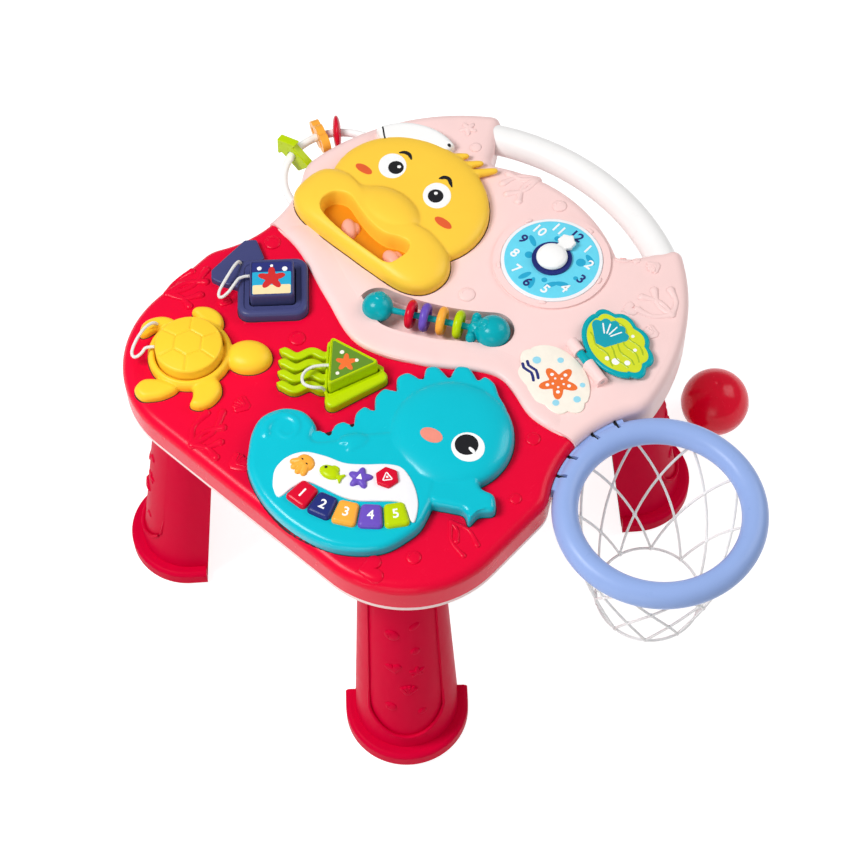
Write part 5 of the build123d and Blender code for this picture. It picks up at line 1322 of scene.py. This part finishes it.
def turtle():
    x, y = TURTLE
    body = Mould(level(RED))
    wall = [(0, RED - 1), (34, RED - 1), (34, RED + 4), (33, RED + 7), (31.2, BASE_TOP - 0.2)]
    wall += [(29.6, BASE_TOP), (28.4, BASE_TOP - 0.8), (28, BASE_TOP - 2.5), (28, RED + 2.5), (0, RED + 2.5)]
    body.lathe(x, y, wall)
    hx, hy = polar(x, y, 47, TURTLE_TURN)
    head = ellipse(hx, hy, 19, 15.5, TURTLE_TURN)
    body.pillow(head, 12, 2.5, 1, 10)
    body.pillow(ellipse(*polar(x, y, 31, TURTLE_TURN), 12, 10, TURTLE_TURN), 8, 3, 1)
    flippers = [anticlockwise(curve_through(flipper, 6)) for flipper in FLIPPERS]
    for flipper in flippers:
        body.pebble(flipper, 8, 5, 1, 6)
    body.piece("turtle_body", shell_yellow, replaced=["turtle_base"], voxel=0.8, relax=5)
    # Painted shadow round the foot of the base, head and flippers.
    seam_line("turtle_seam_shade", red_top, [circle(x, y, 34), head] + flippers)
    shell_back()


def shell_back():
    """The lift-out shell: a flat dome with grooves between its plates."""
    x, y = TURTLE
    shell = Mould()
    wall = BLOCK_TOP - 4.5
    rings = [(SHELL_RADIUS - 0.6, BLOCK_FOOT), (SHELL_RADIUS, BLOCK_FOOT + 0.6), (SHELL_RADIUS, wall)]
    for a in (0.4, 0.8, 1.2, 1.57):
        rings.append((SHELL_RADIUS - SHELL_ROUND * (1 - math.cos(a)), wall + SHELL_ROUND * math.sin(a)))
    rim = SHELL_RADIUS - SHELL_ROUND
    for k in range(1, 46):
        r = rim * (1 - k / 46)
        rings.append((r, BLOCK_TOP - 2.3 + 2.6 * (1 - (r / rim) ** 2)))
    rings.append((0.1, BLOCK_TOP + 0.3))
    count = 168
    rows = []
    for r, z in rings:
        row = []
        for k in range(count):
            a = math.tau * k / count
            px, py = r * math.cos(a), r * math.sin(a)
            row.append((x + px, y + py, z - groove(px, py) if z > BLOCK_TOP - 2.4 else z))
        rows.append(row)
    shell.skin(rows)
    shell.piece("turtle_back", shell_yellow, "turtle_shell", ["turtle_shell"])


def groove(px, py):
    """How deep the shell's pattern of plates cuts at a place."""
    hexagon = 12.5
    turn = math.radians(TURTLE_TURN)
    c, s = math.cos(turn), math.sin(turn)
    u, v = px * c + py * s, py * c - px * s
    angle = math.atan2(v, u)
    sector = math.remainder(angle, math.pi / 3)
    reach = math.hypot(u, v)
    edge = abs(reach * math.cos(sector) - hexagon * math.cos(math.pi / 6))
    spoke_turn = math.remainder(angle - math.pi / 6, math.pi / 3)
    spoke = abs(reach * math.sin(spoke_turn)) if reach > hexagon else 9
    near = min(edge, spoke)
    return 0.9 * math.exp(-((near / 0.75) ** 2))


turtle()


# Square block

SQUARE = (-112, -37)
SQUARE_TURN = 44


TRAY_DEEP = 0.8


def socket_rings(outer, step, hole, edge, drop, slope):
    """Rings of a block's base: a wall with a rounded edge, a stepped rim and the socket."""
    rise = BASE_TOP - RED
    lines = [(outer, -1), (outer, rise - edge), (inset(outer, slope), rise - drop)]
    lines += [(inset(outer, edge), rise), (step, rise), (inset(step, 0.7), rise - 0.9)]
    lines += [(hole, rise - 0.9), (hole, 2)]
    return [[(x, y, RED + h) for x, y in line] for line, h in lines]


def block_prints(block, prints):
    """The layers of a block's picture, in the shallow tray of its top."""
    for name, finish, outlines, rise in prints:
        seat = level(BLOCK_TOP - TRAY_DEEP)
        stamp(name, finish, seat, [(outline, rise) for outline in outlines], block)


def square():
    x, y = SQUARE

    def box(long, radius):
        return box_outline(x, y, long, long, radius, SQUARE_TURN)

    def across(a, b):
        return turned([(a, b)], x, y, SQUARE_TURN)[0]

    outer = box(57, 10)
    base = Mould()
    base.skin(socket_rings(outer, box(47, 6), box(38, 3.5), 2.6, 1, 0.8))
    base.piece("square_seat", slate, replaced=["square_base"])
    # Painted shadow round the foot of the base.
    seam_line("square_seam_shade", red_top, [outer])
    tail = Mould(level(RED))
    plate = [(-132, -54), (-139, -19), (-157, -10), (-164, -17), (-163, -57), (-157, -63), (-150, -62)]
    tail.pebble(rounded(plate, 2.4, 4), 6, 1.6, 1)
    hole = Mould()
    hole.lathe(*SQUARE_CORD[0][:2], [(0, RED - 3), (2.4, RED - 3), (2.4, RED + 9), (0, RED + 9)], 32)
    tail.piece("square_tail", slate, carve=hole)
    lump = Mould()
    lump.skin(stacked(lambda grow: box(36 - grow, max(0.6, 3 - grow / 2))))
    lump.piece("square_lump", slate, "square_block", ["square_block"])
    dots = [(-10, 10, 1.9), (0, 12.4, 1.3), (10.6, 9, 2.2)]
    block_prints("square_block", [
        ("square_water", navy_ink, [box(32.2, 1.6)], 0.15),
        ("square_shallows", sea_ink, [box_outline(*across(0, -4.5), 31.6, 22, 1, SQUARE_TURN)], 0.25),
        ("square_sand", sand_ink, [box_outline(*across(0, -11), 31, 9, 1.5, SQUARE_TURN)], 0.35),
        ("square_motif", red_ink, [star(x, y, 11.5, SQUARE_TURN + 90)], 0.5),
        ("square_dots", white_ink, [circle(*across(a, b), r, 20) for a, b, r in dots], 0.5),
    ])


def stacked(outline):
    """Rings of a block with a rounded rim and a shallow tray for its picture on top."""
    levels = [
        (1, BLOCK_FOOT), (0, BLOCK_FOOT + 0.6), (0.2, BLOCK_TOP - 2.4), (0.7, BLOCK_TOP - 0.9),
        (1.6, BLOCK_TOP - 0.1), (2.3, BLOCK_TOP), (3.1, BLOCK_TOP - 0.1), (3.5, BLOCK_TOP - TRAY_DEEP),
    ]
    return [[(x, y, z) for x, y in outline(grow)] for grow, z in levels]


square()


# Triangle block

TRIANGLE = (-12, -56)
TRIANGLE_TURN = 40


def triangle():
    x, y = TRIANGLE

    def corners(reach, radius):
        return three_corners(x, y, reach, radius, TRIANGLE_TURN)

    outer = rounded([(20.5, -37), (-47, -41), (2.5, -97.5)], 6, 6)
    base = Mould(level(RED))
    base.skin(socket_rings(outer, corners(34, 4), corners(29, 2.6), 2.2, 0.8, 0.7))
    foot = [outer]
    for row in (-1.5, -0.5, 0.5, 1.5):
        wavy = [(12 + 2 * k, 10.6 * row + 2.6 * math.sin(k * 0.52 + 0.4) * min(1, k / 5)) for k in range(21)]
        foot.append(strip(turned(wavy, x, y, TRIANGLE_TURN + 180), 7.2))
        base.pebble(foot[-1], 6.5, 1.8, 1)
    base.piece("triangle_seat", lime, replaced=["triangle_base"], voxel=0.55, relax=3)
    # Painted shadow round the foot of the base and its wavy tail.
    seam_line("triangle_seam_shade", red_top, foot)
    lump = Mould()
    lump.skin(stacked(lambda grow: corners(27.4 - grow, max(0.6, 2.5 - grow / 3))))
    lump.piece("triangle_lump", lime, "triangle_block", ["triangle_block"])
    dots = [(-8, 4, 1.8), (6, 6, 1.6), (3, -13, 1.5)]
    block_prints("triangle_block", [
        ("triangle_ground", leaf_ink, [corners(22.8, 1)], 0.2),
        ("triangle_motif", orange_ink, [star(x + 1, y - 1, 8.6, 130)], 0.4),
        ("triangle_dots", cream_ink, [circle(x + a, y + b, r, 20) for a, b, r in dots], 0.4),
    ])


triangle()


# Seahorse with its keyboard

HORSE_HEAD = (90, -47)
MANE_TIPS = [
    (9.5, -114), (18, -96.5), (21.5, -76.5), (22, -54.5), (24, -30.5), (36.5, -9.5), (55, 7), (79.5, 12),
]
MANE_NOTCHES = [
    (13, -125), (21.5, -111), (29.5, -93), (32, -71), (32.5, -46), (40.5, -24), (54.5, -8.5), (73, 5),
    (95, 5),
]
KEY_HUB = (39, -74)
KEY_RADIUS = 91
KEY_LENGTH = 21
KEYS = [
    ("key_red", -87, crimson), ("key_navy", -75, navy), ("key_orange", -63, orange),
    ("key_purple", -51, purple), ("key_lime", -39, lime),
]
KEY_SPREAD = 11.4
PANEL_EDGE = [
    (104, -94), (103, -98.5), (98, -103), (91, -107.5), (79, -110.5), (65, -108.5), (54, -96),
    (49.5, -79), (45, -61), (44.5, -38), (51.5, -26), (68, -24), (85, -26.5), (98.5, -31),
    (97, -33), (88, -33.4), (79, -37), (78, -63), (79, -89), (90, -93.2),
]


def seahorse():
    body = Mould(level(RED))
    trunk = [
        (126, -116), (127, -135), (118, -160), (92, -181), (58, -189), (24, -187), (-4, -176), (-19, -160),
        (-28, -146), (-31, -132), (-24, -116), (-9, -107.5), (7, -111), (15, -121), (30, -106), (46, -84),
        (70, -66), (110, -84),
    ]
    trunk = anticlockwise(curve_through(trunk, 6))
    body.pebble(trunk, HORSE - RED, 6, 1, 6)
    mane = [MANE_NOTCHES[0]]
    for tip, before, after in zip(MANE_TIPS, MANE_NOTCHES, MANE_NOTCHES[1:]):
        root = (Vector(before) + Vector(after)) / 2
        side = (Vector(after) - Vector(before)) * 0.36
        out = Vector(tip) - root
        for share, wide in [(0.5, -1), (0.93, -0.5), (0.93, 0.5), (0.5, 1)]:
            mane.append(tuple(root + out * share + side * wide))
        mane.append(after)
    mane += [(112, -4), (128, -30), (120, -70), (80, -95), (55, -105), (34, -122)]
    mane = anticlockwise(curve_through(mane, 4))
    body.pebble(mane, 10.5, 4, 1, 6)
    head = circle(*HORSE_HEAD, 50, 96)
    body.pillow(head, top_of("seahorse_cover") - RED + 0.8, 3.6, 1, 14)
    body.pillow(ellipse(84, -86, 30, 22, 40), HORSE - RED + 1, 3.4, 1, 10)
    snout = [
        (104, -92), (118, -104), (134, -97), (144, -92.5), (153, -96.5), (153.5, -86), (161, -76.5),
        (152, -66.5), (140, -68), (126, -60),
    ]
    snout = anticlockwise(curve_through(snout, 5))
    body.pebble(snout, 11.5, 5, 1, 6)
    curl, thick = [], []
    for k in range(48):
        share = k / 47
        curl.append((*polar(-8, -130, 15.5 - 12.5 * share, 240 - 430 * share), HORSE - 3.2))
        thick.append(5.4 - 1.6 * share)
    body.tube(curl, thick, 0.9, 24)
    fin = [(28, -116), (27, -104), (37, -91), (50, -88), (53, -99), (49, -112), (42, -118), (37, -112)]
    body.pillow(anticlockwise(curve_through(fin, 6)), HORSE - RED + 1.8, 3, 1, 9)
    body.piece("seahorse_body", teal, replaced=["seahorse_cover"], voxel=0.8, relax=5)
    # Painted shadow round the foot of the body.
    seam_line("seahorse_seam_shade", red_top, [trunk, mane, head, snout])
    skin = Surface("seahorse_body").draped
    stamp("seahorse_eye_white", eye_white, skin, [(ellipse(111.4, -50.6, 13.2, 12.7, 0, 60), 0.25)])
    stamp("seahorse_pupil", ink_black, skin, [(circle(109.4, -50, 9.2), 0.5)])
    stamp("seahorse_cheek", blush_ink, skin, [(ellipse(83.2, -61.4, 9.4, 6, 12, 44), 0.25)])
    stamp("seahorse_glint", white_ink, skin, [(ellipse(115.8, -51, 3.4, 1.5, -7, 24), 0.75)])


def keyboard():
    panel = Mould(level(HORSE))
    edge = curve_through([polar(*KEY_HUB, r, a) for r, a in PANEL_EDGE], 6)
    panel.pebble(anticlockwise(edge), top_of("key_panel") - HORSE, 1.2, 1, 5)
    panel.piece("key_plate", panel_white, replaced=["key_panel"])
    low = KEY_RADIUS - KEY_LENGTH / 2
    high = KEY_RADIUS + KEY_LENGTH / 2
    half = KEY_SPREAD / 2
    wedge = [(low, -half), (high, -half), (high, half), (low, half)]
    for index, (node, turn, finish) in enumerate(KEYS):
        corners = [polar(*KEY_HUB, r, turn + a) for r, a in wedge]
        cap = Mould()
        foot = foot_of(node) + 2.5
        top = top_of(node)
        shape = rounded(corners, 3.6, 6)
        rows = [[(x, y, foot) for x, y in shape]]
        for deep, drop in [(0, 3.4), (0.3, 2.0), (1.0, 0.9), (2.2, 0.25), (3.6, 0)]:
            rows.append([(x, y, top - drop) for x, y in inset(shape, deep)])
        cap.skin(rows)
        cap.piece(node + "_cap", finish, node, [node])
        figure = Mould()
        middle_spot = polar(*KEY_HUB, KEY_RADIUS, turn)
        figure.glyph(str(index + 1), 11, *middle_spot, top + 0.05, turn + 90, 0.4, 0.2)
        figure.piece(node + "_figure", white_ink, node)
    buttons()


def button_place(radius, turn):
    """What sets a drawing down on a button, and the angle of the button's own level line."""
    x, y = polar(*KEY_HUB, radius, turn)
    return (lambda *points: turned(points, x, y, turn + 90)), turn + 90


def buttons():
    top = top_of("button_star")
    low = HORSE - 0.5
    rise = top - low
    octopus, fish, starry, six = (Mould(level(low)) for _ in range(4))
    eye_seat = level(top - 0.4)
    put, up = button_place(72.4, -100.6)
    octopus.pillow(ellipse(*put((0, 2.4))[0], 8.2, 7, up, 40), rise, 3, 0.5, 8)
    for a, b in [(-6.8, -4.4), (-2.6, -6.8), (2.6, -6.8), (6.8, -4.4)]:
        octopus.tube([(*p, low + 2) for p in put((a * 0.5, 0), (a, b))], [3.6, 2.6])
    octopus.piece("octopus_cap", orange, "button_octopus", ["button_octopus"], voxel=0.4, relax=3)
    eyes = [(circle(*p, 1.2, 20), 0.6) for p in put((-2.7, 1.2), (2.7, 1.2))]
    stamp("octopus_eyes", ink_black, eye_seat, eyes, "button_octopus")
    put, up = button_place(63.2, -81.9)
    fish.pillow(ellipse(*put((-2, 0))[0], 8.8, 6, up, 40), rise, 3, 0.5, 8)
    tail = put((4.6, 0), (10.6, -5.4), (9.4, 0), (10.6, 5.4))
    fish.pebble(rounded(tail, 0.5, 3), rise - 0.8, 1, 0.5)
    fish.pillow(ellipse(*put((0, 4.8))[0], 4.2, 3, up, 28), rise - 1, 3, 0.5)
    fish.piece("fish_cap", lime, "button_fish", ["button_fish"], voxel=0.4, relax=3)
    stamp("fish_eye", ink_black, eye_seat, [(circle(*put((-6, 1.2))[0], 1.2, 20), 0.5)], "button_fish")
    put, up = button_place(58.4, -61.1)
    starry.pillow(star(*put((0, 0))[0], 10.2, up + 90, 5, 0.2), rise, 3.4, 0.5, 8)
    starry.piece("star_cap", purple, "button_star", ["button_star"], voxel=0.4, relax=3)
    arrow = rounded(put((-2.8, -2.4), (2.2, -2.4), (-0.3, 2.8)), 0.4, 3)
    stamp("star_mark", white_ink, level(top), [(arrow, 0.2)], "button_star")
    put, up = button_place(57.5, -40.6)
    hub = put((0, 0))[0]
    six.pebble(rounded([polar(*hub, 9.5, up - 90 + 60 * k) for k in range(6)], 2, 4), rise, 1.6, 0.5, 5)
    six.piece("hexagon_cap", crimson, "button_hexagon", ["button_hexagon"])
    icon = Mould(level(top))
    outer = rounded(put((-3.8, -3.2), (3.8, -3.2), (0, 4)), 0.6, 3)
    icon.rib(outer + outer[:1], 0.5, 0.6)
    icon.film(circle(*put((0, -0.6))[0], 1, 20), 0.25)
    icon.piece("hexagon_mark", white_ink, "button_hexagon")


seahorse()
keyboard()


# Hoop, net and ball

HOOP = (249, 17)
WAIST = (260, 17)
NET_TOP_RADIUS = 73.3
NET_FOOT_RADIUS = 42.8
NET_HIGH = top_of("net")
NET_LOW = foot_of("net")
NET_COLUMNS = 10
NET_TWIST = 54
NET_CROSSINGS = 3
CORD_RADIUS = 1.1
RING = (-160, 93)
RING_RADIUS = 48
RING_DOWN = 14
LENS_TURN = 136.5


def net_point(share, degrees):
    radius = NET_TOP_RADIUS + (NET_FOOT_RADIUS - NET_TOP_RADIUS) * share
    x, y = polar(*HOOP, radius, degrees)
    return spot(x, y, NET_HIGH - 0.8 + (NET_LOW + 1.6 - NET_HIGH) * share)


def net():
    pieces = []
    for column in range(NET_COLUMNS):
        for way in (-1, 1):
            first = 360 / NET_COLUMNS * column
            path = [net_point(k / 24, first + way * NET_TWIST * k / 24) for k in range(25)]
            pieces.append(braid_tube("strand", path, CORD_RADIUS * MM, net_white, 8))
    for share, radius in [(0, 1.5), (1, 1.2)]:
        path = [net_point(share, 360 * k / 72) for k in range(73)]
        pieces.append(braid_tube("strand", path, radius * MM, net_white, 10))
    knots = Mould()
    for column in range(NET_COLUMNS):
        for row in range(NET_CROSSINGS + 1):
            p = (net_point(row / NET_CROSSINGS, 360 / NET_COLUMNS * (column + row / 2)) - SHIFT) / MM
            knots.ball(*p, 1.9, 0.9, 10)
    net_piece = knots.piece("net_strands", net_white, replaced=["net"])
    form = bmesh.new()
    form.loops.layers.uv.new("UVMap")
    for strand in pieces:
        form.from_mesh(strand.data)
        mesh = strand.data
        bpy.data.objects.remove(strand)
        bpy.data.meshes.remove(mesh)
    form.from_mesh(net_piece.data)
    form.to_mesh(net_piece.data)
    form.free()
    net_piece.data.shade_smooth()


def ball():
    low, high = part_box("ball")
    hub = ((low + high) / 2 - SHIFT) / MM
    radius = (high.z - low.z) / 2 / MM
    profile = []
    for k in range(65):
        a = math.pi * (k / 64 - 0.5)
        seam = 0.22 * math.exp(-((a / 0.018) ** 2))
        dimple = 1.1 * math.exp(-(((math.pi / 2 - a) / 0.07) ** 2))
        r = radius - 0.25 + seam - dimple
        profile.append((r * math.cos(a), hub.z + r * math.sin(a)))
    sphere = Mould()
    sphere.lathe(hub.x, hub.y, profile, 128)
    # Painted light: the ball's brightened red.
    sphere.piece("play_ball", ball_red_lit, "ball", ["ball"])


def hoop_slots():
    """Painted shadow: dark films on the floors of the bracket's slots, for the shade inside them."""
    floors = []
    for turn in (157, 170, 187, 199):
        x, y = polar(*WAIST, 91.2, turn)
        floors.append((box_outline(x, y, 7, 2.7, 0.4, turn), 1.9))
    stamp("hoop_slot_shade_floors", slot_shade, Surface("hoop").draped, floors)


def lens_charm():
    """The red charm: a lens with a bore for the ring."""
    turn = math.radians(LENS_TURN)
    out = Vector((math.cos(turn), math.sin(turn), 0))
    along = Vector((out.y, -out.x, 0))
    hub = Vector((*polar(*RING, RING_RADIUS, LENS_TURN), PINK - RING_DOWN))
    lens = Mould()
    rows = []
    for k in range(1, 24):
        a = math.pi * (k / 24 - 0.5)
        reach = 15 * math.cos(a) ** 0.8
        ring = [math.tau * s / 48 for s in range(48)]
        spread = [out * math.cos(s) + Vector((0, 0, math.sin(s))) for s in ring]
        rows.append([tuple(hub + along * 3.6 * math.sin(a) + way * reach) for way in spread])
    lens.skin(rows)
    bore = Mould()
    bore.tube([tuple(hub - along * 8), tuple(hub + along * 8)], 4, 1, 24)
    lens.piece("charm_lens", crimson, "charm_disc", ["charm_disc"], carve=bore)


net()
ball()
hoop_slots()
lens_charm()


# Studio, in metres

FLOOR_HALF = 20
FLOOR_HIGH = -0.0004
WORLD_LIGHT = 0.28


def studio():
    scene = bpy.context.scene
    scene.view_settings.view_transform = "Standard"
    ground = Paint("studio_floor")
    ground.tree.nodes.remove(ground.shader)
    lit = ground.node("ShaderNodeBsdfDiffuse", None, {"Color": (0.5, 0.5, 0.5)})
    glow = ground.node("ShaderNodeEmission", None, {"Color": (1, 1, 1), "Strength": 0.84})
    seen = ground.node("ShaderNodeAddShader", None, {0: lit, 1: glow})
    plain = ground.node("ShaderNodeBsdfDiffuse", None, {"Color": (0.82, 0.82, 0.82)})
    camera_ray = ground.node("ShaderNodeLightPath", out="Is Camera Ray")
    glossy_ray = ground.node("ShaderNodeLightPath", out="Is Glossy Ray")
    clear_ray = ground.node("ShaderNodeLightPath", out="Is Transmission Ray")
    share = camera_ray + glossy_ray + clear_ray
    mixed = ground.node("ShaderNodeMixShader", None, {0: share, 1: plain, 2: seen})
    ground.tree.links.new(mixed.socket, ground.out.inputs[0])
    mesh = bpy.data.meshes.new("studio_floor")
    corners = [(a * FLOOR_HALF, b * FLOOR_HALF, FLOOR_HIGH) for a, b in [(-1, -1), (1, -1), (1, 1), (-1, 1)]]
    mesh.from_pydata(corners, [], [(0, 1, 2, 3)])
    mesh.materials.append(ground.material)
    floor = bpy.data.objects.new("studio_floor", mesh)
    scene.collection.objects.link(floor)
    world = bpy.data.worlds.new("studio")
    world.use_nodes = True
    sky = world.node_tree.nodes["Background"]
    sky.inputs["Color"].default_value = (1, 1, 1, 1)
    sky.inputs["Strength"].default_value = WORLD_LIGHT
    scene.world = world
    lamps = [
        ("overhead_lamp", (-450, -750, 1500), 0.6, 19),
        ("front_lamp", (900, -1300, 650), 0.8, 4),
        ("rim_lamp", (250, -1500, 420), 0.2, 1.2),
        ("back_lamp", (700, 1100, 1200), 0.9, 8),
    ]
    for name, place, size, power in lamps:
        lamp = bpy.data.lights.new(name, "AREA")
        lamp.size = size
        lamp.energy = power
        obj = bpy.data.objects.new(name, lamp)
        obj.location = spot(*place)
        aim = spot(0, 0, 230) - obj.location
        obj.rotation_euler = aim.to_track_quat("-Z", "Y").to_euler()
        scene.collection.objects.link(obj)


studio()
